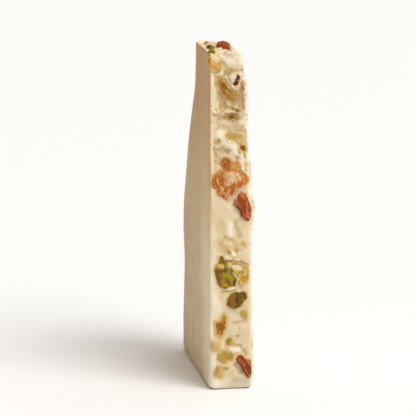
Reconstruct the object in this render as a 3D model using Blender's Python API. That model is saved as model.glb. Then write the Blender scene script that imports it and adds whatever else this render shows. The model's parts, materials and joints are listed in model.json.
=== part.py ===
"""One broken piece of white chocolate bark, standing on its cut end.

The slab is cast flat, so one broad face is smooth (-X) and the other is lumpy with nuts and candied
fruit (+X). Its front edge (-Y) is a cut that slices the fillings through, and its back edge is snapped
off at a slant. Every nut and fruit that shows is a solid of its own, set in a pocket of the chocolate.
Lengths are in millimetres until MM turns them into metres. +Z is up, and the origin is the middle of
the face that the piece stands on.
"""

import math
import random

import bmesh
import bpy
from mathutils import Euler, Matrix, Vector

MM = 0.001

# The slab: driving dimensions
HEIGHT = 105.0  # up the cut front edge
TOP_RISE = 0.6  # the top edge climbs this much towards the back
FRONT_Y = -26.0  # the cut face
SMOOTH_X = -6.9  # the cast face
SMOOTH_ROLL, ROLL_DEPTH = 0.4, 9.0  # the cast face rolls in by this much, this near to the back edge
EDGE_ROUND = 0.7
# The lumpy side of the cut face, as (height, distance across)
CUT_EDGE = (
    (0, 6.7), (8, 7.1), (23, 6.8), (40, 6.4), (50, 6.8), (58, 7.4), (64, 6.3), (71, 6.1),
    (76, 5.1), (82, 4.9), (87, 5.1), (95, 5.0), (100, 4.2), (107, 3.0),
)
# The snapped back edge, as (height, distance back from the middle)
BACK_EDGE = ((0, 26.0), (12, 25.6), (31, 22.6), (42, 25.2), (51, 24.0), (72, 15.4), (92, 2.2), (107, 0.6))

# Mesh density
ROWS, COLUMNS, LAYERS = 28, 12, 4
PIECE_CUTS = 2  # cuts across each side of the cube that a whole nut or fruit is blown up from

# Gaps and relief
POCKET_GAP = 0.34
PROUD = 0.12  # a cut filling stands this far out of the cut face
CUT_RELIEF = 0.35  # the cut face is hollowed by up to this much
CUT_RIPPLES = ((1.3, 0.35, 0.0), (0.9, -0.52, 2.0))  # its ripples' pitch across, pitch up and phase
# The lumpy face's long waves: height, length, heading, phase
WAVES = ((0.42, 19.0, 0.35, 0.4), (0.28, 11.0, -0.9, 1.9), (0.20, 7.3, 2.1, 4.1))
LUMPS_FROM, LUMPS_FULL = 1.0, 11.0  # the lumps grow in between these depths behind the cut
MOUND_SEED, MOUND_TRIES, MOUND_SPACING, MOUND_SPREAD, MOUND_MARGIN = 11, 600, 7.5, 3.3, 4.5
MOUND_LOW, MOUND_HIGH = 0.7, 1.5
COLLAR_HEIGHT, COLLAR_REACH = 0.9, 5.5  # the chocolate climbs round a nut on the lumpy side

# A sliced filling behind its cut outline: (share of its depth, size of the section)
SLICE_SECTIONS = ((0.0, 1.0), (0.45, 0.98), (0.82, 0.76), (1.0, 0.36))
POCKET_MOUTH = 1.5  # the pocket's cutter starts this far in front of the cut

# Whole fillings: squareness of the cross-section, taper towards the tip, bend, lumpiness
ALMOND, PISTACHIO, FRUIT_CUBE, FRUIT_CHUNK = "almond", "pistachio", "cube", "chunk"
SHAPES = {
    ALMOND: (2.3, 0.26, 0.00, 0.05),
    PISTACHIO: (2.2, 0.12, 0.14, 0.05),
    FRUIT_CUBE: (7.0, 0.03, 0.00, 0.04),
    FRUIT_CHUNK: (3.2, 0.10, 0.05, 0.16),
}
LUMP_PITCH = 2.3
FLUSH_BACK, FLUSH_FOOT = 0.2, 0.15  # a filling ends this far outside the snapped edge, and inside the foot

# Linear base colour, roughness
LOOKS = {
    "white_chocolate": ((0.80, 0.66, 0.42), 0.45),
    "almond_skin": ((0.30, 0.10, 0.04), 0.60),
    "pistachio": ((0.30, 0.26, 0.04), 0.55),
    "toasted_nut": ((0.45, 0.22, 0.06), 0.60),
    "pale_nut": ((0.62, 0.44, 0.20), 0.55),
    "candied_orange": ((0.60, 0.20, 0.04), 0.35),
    "candied_papaya": ((0.34, 0.05, 0.02), 0.45),
    "candied_melon": ((0.58, 0.38, 0.10), 0.35),
}

# Sliced through by the cut: name, look, depth, outline on the cut face as (across, height)
SLICED = (
    ("nut_crown", "pale_nut", 4.6, (
        (-7.3, 103.6), (-6.1, 103.9), (-4.5, 103.5), (-3.3, 102.4), (-2.9, 101.0),
        (-3.6, 99.6), (-5.0, 98.9), (-6.4, 99.8), (-7.3, 101.2), (-7.7, 102.8))),
    ("almond_notch", "almond_skin", 4.0, (
        (-1.1, 97.9), (0.2, 98.7), (1.7, 98.5), (2.5, 97.8), (2.3, 96.6), (1.6, 95.0), (1.0, 94.5), (0.2, 95.5),
        (-0.9, 96.8))),
    ("almond_sliver", "almond_skin", 3.0, (
        (3.1, 95.8), (3.7, 96.3), (4.0, 95.7), (3.9, 94.0), (3.7, 92.3), (3.1, 92.3), (2.9, 93.9))),
    ("toasted_nut_high", "toasted_nut", 3.8, (
        (-4.4, 96.3), (-3.2, 97.2), (-2.4, 96.3), (-1.0, 94.2), (0.2, 92.9), (1.8, 92.3), (1.7, 90.9),
        (0.5, 90.2), (-1.0, 91.2), (-2.3, 92.2), (-3.3, 93.8), (-4.2, 95.2))),
    ("pale_nut_high", "pale_nut", 3.8, (
        (-2.0, 80.0), (-0.5, 80.4), (1.4, 80.2), (3.1, 80.1), (3.9, 78.6), (3.6, 77.3), (2.4, 77.1),
        (0.9, 77.3), (-0.6, 78.0), (-1.6, 79.0))),
    ("toasted_chip_high", "toasted_nut", 2.2, (
        (2.6, 76.2), (3.5, 76.9), (4.1, 76.2), (4.2, 75.1), (3.5, 74.8), (2.7, 75.4))),
    ("orange_upper", "candied_orange", 4.0, (
        (-3.0, 71.6), (-2.1, 72.5), (-0.9, 72.0), (-0.4, 71.0), (1.8, 70.7), (2.2, 69.6), (0.9, 69.1),
        (-0.6, 69.1), (-1.9, 69.1), (-2.7, 70.0))),
    ("orange_left", "candied_orange", 4.4, (
        (-5.7, 65.4), (-5.1, 67.2), (-3.5, 68.5), (-2.4, 68.5), (-1.9, 67.0), (-2.1, 64.8), (-2.2, 63.0),
        (-2.7, 61.5), (-4.0, 61.9), (-3.8, 63.4), (-5.3, 64.0))),
    ("orange_right", "candied_orange", 4.2, (
        (-1.4, 68.2), (0.4, 68.5), (2.2, 67.9), (4.3, 66.9), (4.8, 65.6), (3.2, 64.3), (1.4, 63.7),
        (0.5, 62.5), (-0.3, 60.9), (-1.3, 60.2), (-2.0, 60.9), (-1.7, 62.6), (-1.6, 64.6), (-1.4, 66.6))),
    ("almond_stick_high", "almond_skin", 3.2, (
        (3.1, 62.4), (3.9, 62.0), (4.7, 60.6), (5.5, 58.9), (6.0, 57.0), (5.9, 54.8), (5.2, 53.2),
        (4.2, 53.2), (3.2, 54.6), (2.0, 57.0), (0.8, 58.6), (0.8, 59.6), (1.9, 60.8))),
    ("pistachio_green", "pistachio", 4.8, (
        (-5.5, 38.3), (-4.7, 39.8), (-3.8, 40.3), (-3.5, 42.2), (-2.8, 42.5), (-2.3, 40.9), (-1.1, 40.3),
        (-0.9, 38.9), (0.0, 37.3), (0.7, 36.0), (1.6, 35.3), (1.6, 33.6), (0.9, 32.7), (-0.7, 33.0),
        (-2.0, 31.7), (-3.1, 32.9), (-4.4, 34.4), (-5.0, 36.4))),
    ("pale_nut_middle", "pale_nut", 4.0, (
        (-0.5, 39.9), (1.0, 40.2), (3.0, 39.8), (4.9, 39.1), (5.6, 38.0), (5.5, 35.6), (5.1, 33.6), (3.7, 32.6),
        (2.4, 33.0), (2.2, 35.2), (1.4, 36.4), (0.6, 37.6), (-0.3, 38.9))),
    ("pistachio_dark", "pistachio", 4.0, (
        (0.1, 31.0), (1.5, 31.3), (2.9, 30.9), (3.9, 31.1), (4.8, 30.1), (5.1, 29.0), (4.2, 28.2), (3.4, 27.4),
        (2.6, 26.4), (1.3, 25.8), (-0.3, 26.1), (-1.3, 26.5), (-1.6, 27.8), (-1.4, 29.2), (-0.6, 30.3))),
    ("pale_nut_low", "pale_nut", 2.8, (
        (2.2, 24.4), (3.2, 25.2), (5.1, 25.3), (5.3, 23.6), (5.0, 21.9), (4.2, 22.1), (3.1, 23.2))),
    ("toasted_nut_low", "toasted_nut", 3.4, (
        (-2.2, 24.2), (-1.6, 23.0), (-1.5, 21.4), (-1.9, 19.8), (-2.6, 18.2), (-3.4, 17.1), (-4.4, 17.3),
        (-4.9, 18.5), (-4.6, 20.0), (-4.8, 21.5), (-3.6, 21.7), (-2.7, 22.6))),
    ("pistachio_bit", "pistachio", 2.2, (
        (-1.1, 16.5), (0.0, 16.5), (0.2, 15.4), (-0.3, 14.3), (-1.2, 14.4), (-1.5, 15.4))),
    ("toasted_chip_low", "toasted_nut", 2.6, (
        (-5.9, 15.0), (-4.7, 15.1), (-4.2, 13.8), (-4.8, 12.9), (-5.7, 13.1))),
    ("pale_nut_foot_upper", "pale_nut", 3.8, (
        (-4.5, 11.4), (-3.9, 12.2), (-2.0, 12.3), (-0.3, 12.0), (0.8, 11.2), (1.0, 10.2), (0.7, 9.0), (0.1, 8.7),
        (-0.5, 9.3), (-1.3, 8.5), (-2.2, 8.2), (-3.4, 8.9), (-4.3, 10.0))),
    ("pale_nut_foot_lower", "pale_nut", 3.6, (
        (-4.4, 7.8), (-3.0, 7.5), (-1.5, 7.7), (-0.4, 7.3), (-0.8, 6.2), (-2.4, 5.5), (-2.7, 4.2), (-4.0, 3.6),
        (-5.2, 4.4), (-5.6, 5.8), (-5.1, 7.1))),
    ("almond_stick_low", "almond_skin", 3.4, (
        (1.6, 10.4), (2.4, 11.2), (3.4, 10.9), (4.4, 9.9), (5.3, 9.6), (5.9, 9.7), (6.3, 8.6), (6.3, 6.8),
        (6.2, 5.0), (5.8, 3.7), (5.0, 4.0), (4.2, 5.0), (3.4, 6.4), (2.6, 7.7), (1.8, 8.5), (1.4, 9.5))),
)

# Whole ones in the other faces: name, kind, look, centre, half sizes (across, through, along), turns in degrees,
# and the face that they lie in. Unturned, a piece stands along Z with its flat sides facing Y.
TOP, BACK, LUMPY, FOOT = "top", "back", "lumpy", "foot"
WHOLE = (
    ("almond_top", ALMOND, "almond_skin", (0.2, -11.4, 104.6), (1.9, 1.8, 6.4), (90, 0, 6), TOP),
    ("pistachio_top", PISTACHIO, "pistachio", (-4.6, -14.6, 104.9), (1.0, 1.2, 2.9), (90, 0, -16), TOP),
    ("pistachio_crown", PISTACHIO, "pistachio", (-5.7, -23.4, 105.1), (1.1, 0.8, 1.9), (90, 0, 30), TOP),
    ("papaya_back", FRUIT_CUBE, "candied_papaya", (-0.2, 9.2, 78.2), (3.9, 3.6, 3.9), (50, 8, 0), BACK),
    ("pistachio_back_high", PISTACHIO, "pistachio", (0.4, 1.2, 91.6), (2.6, 3.4, 5.0), (30, 20, 0), BACK),
    ("almond_back", ALMOND, "almond_skin", (-1.0, 15.6, 67.0), (2.7, 3.4, 4.6), (30, -16, 0), BACK),
    ("melon_back", FRUIT_CHUNK, "candied_melon", (1.6, 20.8, 56.0), (3.0, 3.2, 3.0), (22, 0, 0), BACK),
    ("orange_back", FRUIT_CHUNK, "candied_orange", (-0.4, 22.4, 43.8), (3.6, 3.8, 4.2), (0, 0, 0), BACK),
    ("pistachio_back_low", PISTACHIO, "pistachio", (0.6, 20.6, 30.6), (2.9, 3.8, 4.7), (-8, -28, 0), BACK),
    ("almond_back_low", ALMOND, "almond_skin", (-0.8, 23.0, 19.6), (2.5, 3.2, 4.3), (6, 20, 0), BACK),
    ("papaya_back_low", FRUIT_CUBE, "candied_papaya", (0.8, 22.8, 7.9), (3.5, 3.6, 3.7), (0, 11, 0), BACK),
    ("pistachio_foot", PISTACHIO, "pistachio", (1.4, -11.0, 0.9), (2.6, 2.4, 4.6), (75, 0, 20), FOOT),
    ("almond_foot", ALMOND, "almond_skin", (-1.6, 1.6, 1.2), (2.4, 3.0, 5.6), (80, 0, -14), FOOT),
    ("orange_foot", FRUIT_CHUNK, "candied_orange", (-1.0, 14.4, 0.8), (2.6, 3.4, 2.7), (0, 0, 25), FOOT),
    ("almond_lump_high", ALMOND, "almond_skin", (4.1, -14.4, 91.0), (4.4, 2.5, 7.2), (18, 0, 90), LUMPY),
    ("pistachio_lump_high", PISTACHIO, "pistachio", (4.7, -5.4, 80.8), (3.2, 2.8, 6.2), (-48, 0, 90), LUMPY),
    ("papaya_lump_high", FRUIT_CUBE, "candied_papaya", (3.9, -11.4, 72.0), (3.3, 3.2, 3.4), (12, 10, 12), LUMPY),
    ("orange_lump_high", FRUIT_CHUNK, "candied_orange", (5.1, 4.6, 71.0), (3.3, 4.0, 3.8), (20, 0, 10), LUMPY),
    ("almond_lump_middle", ALMOND, "almond_skin", (5.4, -4.0, 60.6), (4.9, 2.7, 8.0), (64, 0, 90), LUMPY),
    ("pistachio_lump_back", PISTACHIO, "pistachio", (5.8, 13.0, 56.4), (3.2, 2.9, 6.0), (12, 0, 90), LUMPY),
    ("melon_lump_middle", FRUIT_CHUNK, "candied_melon", (5.2, -15.6, 50.4), (3.0, 3.7, 3.4), (30, 0, 0), LUMPY),
    ("papaya_lump_middle", FRUIT_CUBE, "candied_papaya", (5.2, 2.2, 45.2), (3.6, 3.9, 3.8), (33, 8, -8), LUMPY),
    ("pistachio_lump_middle", PISTACHIO, "pistachio", (5.6, -9.6, 37.0), (3.2, 2.9, 6.2), (34, 0, 90), LUMPY),
    ("almond_lump_back", ALMOND, "almond_skin", (6.0, 13.4, 36.6), (4.7, 2.7, 7.6), (-38, 0, 90), LUMPY),
    ("orange_lump_low", FRUIT_CHUNK, "candied_orange", (5.4, 0.8, 27.6), (3.3, 4.1, 3.6), (-15, 0, 8), LUMPY),
    ("almond_lump_low", ALMOND, "almond_skin", (5.2, -14.6, 21.6), (4.5, 2.7, 7.4), (-12, 0, 90), LUMPY),
    ("pistachio_lump_low", PISTACHIO, "pistachio", (5.9, 13.6, 19.8), (3.1, 2.9, 6.0), (72, 0, 90), LUMPY),
    ("papaya_lump_low", FRUIT_CUBE, "candied_papaya", (5.2, -3.2, 12.4), (3.5, 3.8, 3.6), (-20, -6, 10), LUMPY),
    ("melon_lump_low", FRUIT_CHUNK, "candied_melon", (5.4, 11.4, 8.4), (3.4, 3.8, 3.2), (12, 0, 0), LUMPY),
)


def along_profile(profile, height):
    """The value of a (height, value) profile at this height, on straight lines between its points."""
    for (low, near), (high, far) in zip(profile, profile[1:]):
        if height <= high:
            return near + (height - low) / (high - low) * (far - near)
    return profile[-1][1]


def ease(value, start, end):
    """0 before start, 1 after end, and smooth in between."""
    share = min(1.0, max(0.0, (value - start) / (end - start)))
    return share * share * (3.0 - 2.0 * share)


def covered_nuts():
    """Places (y, z, height) of the lumps over nuts that the chocolate hides, clear of the nuts that show."""
    draw = random.Random(MOUND_SEED)
    taken = [(row[3][1], row[3][2]) for row in WHOLE if row[6] == LUMPY]
    mounds = []
    for _ in range(MOUND_TRIES):
        z = draw.uniform(MOUND_MARGIN, HEIGHT - MOUND_MARGIN)
        y = draw.uniform(FRONT_Y + MOUND_MARGIN, along_profile(BACK_EDGE, z) - MOUND_MARGIN)
        if all(math.hypot(y - a, z - b) > MOUND_SPACING for a, b in taken):
            taken.append((y, z))
            mounds.append((y, z, draw.uniform(MOUND_LOW, MOUND_HIGH)))
    return mounds


def lumpy_x(y, z, mounds):
    """The lumpy face: its distance across at (y, z)."""
    lift = 0.0
    for height, length, heading, phase in WAVES:
        along = y * math.cos(heading) + z * math.sin(heading)
        lift += height * math.sin(2.0 * math.pi * along / length + phase)
    for mound_y, mound_z, height in mounds:
        away = math.hypot(y - mound_y, z - mound_z) / MOUND_SPREAD
        lift += height * math.exp(-away * away)
    for row in WHOLE:
        if row[6] == LUMPY:
            away = math.hypot(y - row[3][1], z - row[3][2]) / COLLAR_REACH
            lift += COLLAR_HEIGHT * math.exp(-away * away)
    behind = y - FRONT_Y
    return along_profile(CUT_EDGE, z) + ease(behind, LUMPS_FROM, LUMPS_FULL) * lift


def smooth_x(y, z):
    """The cast face: flat, rolling in towards the back edge."""
    back = along_profile(BACK_EDGE, z)
    return SMOOTH_X + SMOOTH_ROLL * ease(y, back - ROLL_DEPTH, back) ** 2


def cut_hollow(x, z):
    """How deep the cut face is hollowed here, from 0 to 1."""
    ripples = [math.sin(across * x + up * z + phase) for across, up, phase in CUT_RIPPLES]
    return 0.5 + 0.5 * sum(ripples) / len(ripples)


def slab_point(s, t, r, mounds):
    """The point of the slab at shares s from front to back, t from foot to top and r from the smooth face."""
    z = t * (HEIGHT + TOP_RISE * s)
    y = FRONT_Y + s * (along_profile(BACK_EDGE, z) - FRONT_Y)
    x = smooth_x(y, z) + r * (lumpy_x(y, z, mounds) - smooth_x(y, z))
    if s == 0.0:
        y += CUT_RELIEF * cut_hollow(x, z) * 4.0 * r * (1.0 - r)
    return Vector((x, y, z)) * MM


def slab_mesh():
    """A closed box skin of ROWS by COLUMNS by LAYERS quads, bent to the slab's form."""
    mounds = covered_nuts()
    bm = bmesh.new()
    corners = {}

    def corner(i, j, k):
        if (i, j, k) not in corners:
            point = slab_point(i / COLUMNS, j / ROWS, k / LAYERS, mounds)
            corners[i, j, k] = bm.verts.new(point)
        return corners[i, j, k]

    def skin(count_a, count_b, place):
        for a in range(count_a):
            for b in range(count_b):
                ring = ((a, b), (a + 1, b), (a + 1, b + 1), (a, b + 1))
                bm.faces.new([corner(*place(u, v)) for u, v in ring])

    for end in (0, LAYERS):
        skin(COLUMNS, ROWS, lambda u, v: (u, v, end))
    for end in (0, COLUMNS):
        skin(ROWS, LAYERS, lambda u, v: (end, u, v))
    for end in (0, ROWS):
        skin(COLUMNS, LAYERS, lambda u, v: (u, end, v))
    bmesh.ops.recalc_face_normals(bm, faces=bm.faces)
    return bm


def grown(outline, gap):
    """The outline moved outwards by the gap, corner by corner."""
    moved = []
    count = len(outline)
    area = sum(
        outline[i][0] * outline[(i + 1) % count][1] - outline[(i + 1) % count][0] * outline[i][1]
        for i in range(count)
    )
    side = 1.0 if area > 0 else -1.0
    for i, here in enumerate(outline):
        before = Vector(here) - Vector(outline[i - 1])
        after = Vector(outline[(i + 1) % count]) - Vector(here)
        normal_a = Vector((before.y, -before.x)).normalized() * side
        normal_b = Vector((after.y, -after.x)).normalized() * side
        mitre = (normal_a + normal_b) / (1.0 + normal_a.dot(normal_b))
        mitre = mitre * min(1.0, 1.5 / mitre.length)
        moved.append(tuple(Vector(here) + gap * mitre))
    return moved


def sliced_bmesh(outline, depth, gap, mouth):
    """A filling behind its cut outline: sections that close in with depth. The gap makes its pocket."""
    centre_x = sum(point[0] for point in outline) / len(outline)
    centre_z = sum(point[1] for point in outline) / len(outline)
    rings = [(FRONT_Y - mouth, 1.0)]
    for share, size in SLICE_SECTIONS[1:]:
        rings.append((FRONT_Y + share * (depth + gap), size))
    bm = bmesh.new()
    skin = []
    for y, size in rings:
        section = [
            (centre_x + (x - centre_x) * size, centre_z + (z - centre_z) * size) for x, z in outline
        ]
        section = grown(section, gap) if gap else section
        skin.append([bm.verts.new(Vector((x, y, z)) * MM) for x, z in section])
    for near, far in zip(skin, skin[1:]):
        for i in range(len(near)):
            bm.faces.new((near[i - 1], near[i], far[i], far[i - 1]))
    bm.faces.new(skin[0])
    bm.faces.new(skin[-1])
    bmesh.ops.recalc_face_normals(bm, faces=bm.faces)
    return bm


def whole_bmesh(kind, half, seed):
    """A nut or fruit about its own centre: a cube blown up to a rounded, tapered, bent and lumpy body."""
    squareness, taper, bend, lump = SHAPES[kind]
    bm = bmesh.new()
    bmesh.ops.create_cube(bm, size=2.0)
    bmesh.ops.subdivide_edges(bm, edges=bm.edges, cuts=PIECE_CUTS, use_grid_fill=True)
    for vert in bm.verts:
        spread = sum(abs(c) ** squareness for c in vert.co) ** (1.0 / squareness)
        q = vert.co / spread
        swell = 1.0
        for axis in range(3):
            swell += lump / 3.0 * math.sin(LUMP_PITCH * q[axis] * (1 + 0.3 * axis) + seed * (axis + 1))
        q *= swell
        narrow = 1.0 - taper * q.z
        x = half[0] * (q.x * narrow + bend * (q.z * q.z - 0.3))
        vert.co = Vector((x, half[1] * q.y * narrow, half[2] * q.z)) * MM
    bmesh.ops.recalc_face_normals(bm, faces=bm.faces)
    return bm


def cut_flush(bm, matrix, point, normal):
    """Slices a piece off along a plane of the slab and closes the cut."""
    back = matrix.inverted()
    turned = back.to_3x3() @ normal
    everything = bm.verts[:] + bm.edges[:] + bm.faces[:]
    cut = bmesh.ops.bisect_plane(
        bm, geom=everything, plane_co=back @ point, plane_no=turned, clear_outer=True, dist=1e-7
    )
    rim = [item for item in cut["geom_cut"] if isinstance(item, bmesh.types.BMEdge)]
    if rim:
        bmesh.ops.contextual_create(bm, geom=rim)
    bmesh.ops.recalc_face_normals(bm, faces=bm.faces)


def cut_plane(face, centre):
    """A point on the foot or the snapped edge and its outward direction, near the piece's centre."""
    if face == FOOT:
        return Vector((0.0, 0.0, FLUSH_FOOT)) * MM, Vector((0.0, 0.0, -1.0))
    low, high = centre[2] - 3.0, centre[2] + 3.0
    slope = (along_profile(BACK_EDGE, high) - along_profile(BACK_EDGE, low)) / (high - low)
    point = Vector((0.0, along_profile(BACK_EDGE, centre[2]) + FLUSH_BACK, centre[2])) * MM
    return point, Vector((0.0, 1.0, -slope)).normalized()


def material(look):
    """The Principled material of one look, made once."""
    if look in bpy.data.materials:
        return bpy.data.materials[look]
    colour, roughness = LOOKS[look]
    made = bpy.data.materials.new(look)
    made.use_nodes = True
    shader = made.node_tree.nodes["Principled BSDF"]
    shader.inputs["Base Color"].default_value = (*colour, 1.0)
    shader.inputs["Roughness"].default_value = roughness
    shader.inputs["Metallic"].default_value = 0.0
    return made


def add_object(name, bm, collection):
    """A new object made of this mesh."""
    mesh = bpy.data.meshes.new(name)
    bm.to_mesh(mesh)
    bm.free()
    made = bpy.data.objects.new(name, mesh)
    collection.objects.link(made)
    return made


def add_pocket(name, bm, pockets):
    """The cutter that makes a filling's pocket."""
    cutter = add_object(name + "_pocket", bm, pockets)
    cutter.hide_render = True
    cutter.display_type = "WIRE"
    return cutter


def add_sliced(row, scene, pockets):
    """A filling that the cut sliced through, and its pocket."""
    name, look, depth, outline = row
    piece = add_object(name, sliced_bmesh(outline, depth, 0.0, PROUD), scene)
    piece.data.materials.append(material(look))
    add_pocket(name, sliced_bmesh(outline, depth, POCKET_GAP, POCKET_MOUTH), pockets)
    return piece


def add_whole(row, seed, scene, pockets):
    """A nut or fruit in one of the other faces, and its pocket."""
    name, kind, look, centre, half, turns, face = row
    turn = Euler([math.radians(angle) for angle in turns], "ZYX")
    matrix = Matrix.Translation(Vector(centre) * MM) @ turn.to_matrix().to_4x4()
    body = whole_bmesh(kind, half, seed)
    if face in (BACK, FOOT):
        cut_flush(body, matrix, *cut_plane(face, centre))
    piece = add_object(name, body, scene)
    piece.data.materials.append(material(look))
    piece.matrix_world = matrix
    cutter = add_pocket(name, whole_bmesh(kind, [size + POCKET_GAP for size in half], seed), pockets)
    cutter.matrix_world = matrix
    return piece


def add_slab(scene, pockets):
    """The chocolate, with its arrises softened and the pockets cut out."""
    slab = add_object("white_chocolate", slab_mesh(), scene)
    slab.data.materials.append(material("white_chocolate"))
    soften = slab.modifiers.new("Softened arrises", "BEVEL")
    soften.width = EDGE_ROUND * MM
    soften.segments = 2
    soften.limit_method = "ANGLE"
    soften.angle_limit = math.radians(50.0)
    hollow = slab.modifiers.new("Pockets", "BOOLEAN")
    hollow.operation = "DIFFERENCE"
    hollow.operand_type = "COLLECTION"
    hollow.collection = pockets
    hollow.solver = "EXACT"
    return slab


def stand_on_origin(bark):
    """Moves the piece so that the origin is the middle of its box, at the foot."""
    bpy.context.view_layer.update()
    points = []
    for piece in bark.children:
        if not piece.hide_render:
            points += [piece.matrix_world @ vert.co for vert in piece.data.vertices]
    for axis in (0, 1):
        values = [point[axis] for point in points]
        bark.location[axis] = -0.5 * (min(values) + max(values))


def build():
    """Clears the scene and makes the piece."""
    for obj in list(bpy.data.objects):
        bpy.data.objects.remove(obj)
    scene = bpy.context.scene.collection
    pockets = bpy.data.collections.new("pockets")
    scene.children.link(pockets)
    bark = bpy.data.objects.new("bark", None)
    scene.objects.link(bark)
    for row in SLICED:
        add_sliced(row, scene, pockets).parent = bark
    for seed, row in enumerate(WHOLE):
        add_whole(row, seed, scene, pockets).parent = bark
    add_slab(scene, pockets).parent = bark
    for cutter in pockets.objects:
        cutter.parent = bark
    stand_on_origin(bark)


build()
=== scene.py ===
"""The looks of one piece of white chocolate bark, standing on its flat end.

Each solid of the frame is taken as a field of distances on a fine lattice, in millimetres. There its facets
are rounded, its gaps are closed and its relief is added, and the field's skin becomes the piece that shows.
The chocolate runs up to every nut and fruit, which keep the places and forms of their solids.
"""

import itertools
import json
from dataclasses import dataclass

import bmesh
import bpy
import numpy as np
import openvdb as vdb
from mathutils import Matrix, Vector


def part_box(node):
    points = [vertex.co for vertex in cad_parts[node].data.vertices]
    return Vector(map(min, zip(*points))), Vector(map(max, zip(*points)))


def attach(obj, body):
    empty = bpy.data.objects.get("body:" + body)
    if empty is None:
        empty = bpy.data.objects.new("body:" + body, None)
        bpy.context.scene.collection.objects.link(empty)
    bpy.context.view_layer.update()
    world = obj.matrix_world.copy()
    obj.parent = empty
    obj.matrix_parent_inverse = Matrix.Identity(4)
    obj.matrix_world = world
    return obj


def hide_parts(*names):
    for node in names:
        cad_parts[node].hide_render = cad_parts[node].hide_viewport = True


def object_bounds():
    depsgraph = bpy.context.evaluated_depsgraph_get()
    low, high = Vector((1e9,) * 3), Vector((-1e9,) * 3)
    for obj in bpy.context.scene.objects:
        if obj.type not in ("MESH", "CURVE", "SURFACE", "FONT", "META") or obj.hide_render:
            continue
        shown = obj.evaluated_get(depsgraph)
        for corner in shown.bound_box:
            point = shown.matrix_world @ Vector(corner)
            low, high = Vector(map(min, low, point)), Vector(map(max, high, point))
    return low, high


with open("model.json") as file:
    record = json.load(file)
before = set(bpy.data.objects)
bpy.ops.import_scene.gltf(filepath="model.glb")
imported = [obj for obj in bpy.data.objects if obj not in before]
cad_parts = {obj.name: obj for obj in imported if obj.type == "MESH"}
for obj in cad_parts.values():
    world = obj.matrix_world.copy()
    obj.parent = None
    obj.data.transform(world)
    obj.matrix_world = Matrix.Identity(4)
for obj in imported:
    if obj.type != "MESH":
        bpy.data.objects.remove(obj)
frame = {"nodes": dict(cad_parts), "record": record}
CAD_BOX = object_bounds()
MM = 0.001

# The lattices, in millimetres
BODY_PITCH = 0.21
FRONT_PITCH = 0.14
FILLING_PITCH = 0.21
REACH = 2.4  # distances are true this near to a surface
FILLING_MARGIN = 1.8  # a lattice reaches this far beyond its nut or fruit
BODY_MARGIN = 1.5  # and the body's this far beyond the body
GAP_CLOSED = 0.30  # the solids' gaps, 0.34 wide, close when the body grows and shrinks by this much
DRIP_ROUNDING = 1.5  # the same for the soft hollows between the nuts of the lumpy side
BODY_FACES = 190000

# The frame's own places, in millimetres
BOX_LOW, BOX_HIGH = (np.array(corner) / MM for corner in CAD_BOX)
SLAB_LOW, SLAB_HIGH = (np.array(corner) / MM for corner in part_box("white_chocolate"))
CUT_Y = SLAB_LOW[1]
CUT_REACH = 0.3  # a nut that comes this near to the cut face is cut by it
MIDDLE = -0.783  # places across the cut face are given from this line

SLOTS = {entry["node"]: entry["material_slot"] for entry in frame["record"]["subparts"]}
FILLINGS = sorted(name for name in frame["nodes"] if name != "white_chocolate")

# Light
WALL_LIGHT = 0.34
CEILING_LIGHT = 1.1
SUN_LIGHT = 2.0
SUN_PLACE = (0.50, -0.62, 0.80)
NEAR_WHITE = (1.0, 0.985, 0.96)
WARM_WHITE = (1.0, 0.80, 0.60)

# Camera
CAMERA_PLACE = (-0.1245, -0.6737, 0.1868)
CAMERA_AIM = (-0.0035, 0.0, 0.0525)
LENS, SENSOR = 191.0, 36.0


# ---------------------------------------------------------------- colours

# As the screen shows them in full light, from 0 to 255
CREAM = (233, 216, 184)
PALE = (246, 236, 212)
BUTTER = (228, 206, 162)
BEIGE = (204, 174, 124)
SHADE = (176, 138, 84)
# The smooth side's cream, darkened and warmed partly as painted shade
CAST = (224, 196, 150)
# Painted light on the smooth side, near the cut face and at the foot
CAST_PAINTED_LIGHT = (250, 228, 186)
# Painted shade on the top of the smooth side, and also its darker streaks and blots
CAST_SHADE_AND_MOTTLE = (198, 149, 88)
CAST_BLOOM = (206, 182, 144)
GREY = (190, 174, 144)
PINKISH = (229, 206, 182)
OLIVE = (188, 168, 104)
DARK_OLIVE = (128, 108, 42)
TAN = (208, 168, 106)
WHITE_NUT = (236, 220, 188)
ROSE = (190, 104, 74)
PLUM = (88, 40, 20)
ALMOND_FLESH = (232, 206, 156)
FROST = (240, 204, 162)
# A painted highlight: along the left edge and on ridges of the cut face
GLEAM = (252, 243, 220)
FOOT_TINT = (206, 196, 174)
SUGAR_COLOURS = ((222, 158, 92), (208, 132, 62), (232, 190, 136))
SPECK_COLOURS = (
    (176, 124, 44), (150, 96, 24), (198, 152, 70), (160, 140, 40), (126, 66, 32), (204, 176, 100),
)


@dataclass
class Look:
    """How a kind of nut or fruit looks, and how the chocolate round it takes its colour."""

    light: tuple  # its flesh, from light
    dark: tuple  # to dark
    skin: tuple
    skin_depth: float  # how far in from the outline the skin's colour reaches, in millimetres
    relief: tuple  # (height, size) of its lumps, in millimetres
    streaks: tuple  # how the grain is stretched across, through and along
    roughness: float
    clear: float  # how much light goes through it
    coat: float
    bleed: tuple  # (share, reach) of its colour in the chocolate round it
    film: float  # how far in from the outline the chocolate's colour reaches, in millimetres
    frost: float = 0.0  # how much sugar has dried on it


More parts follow.
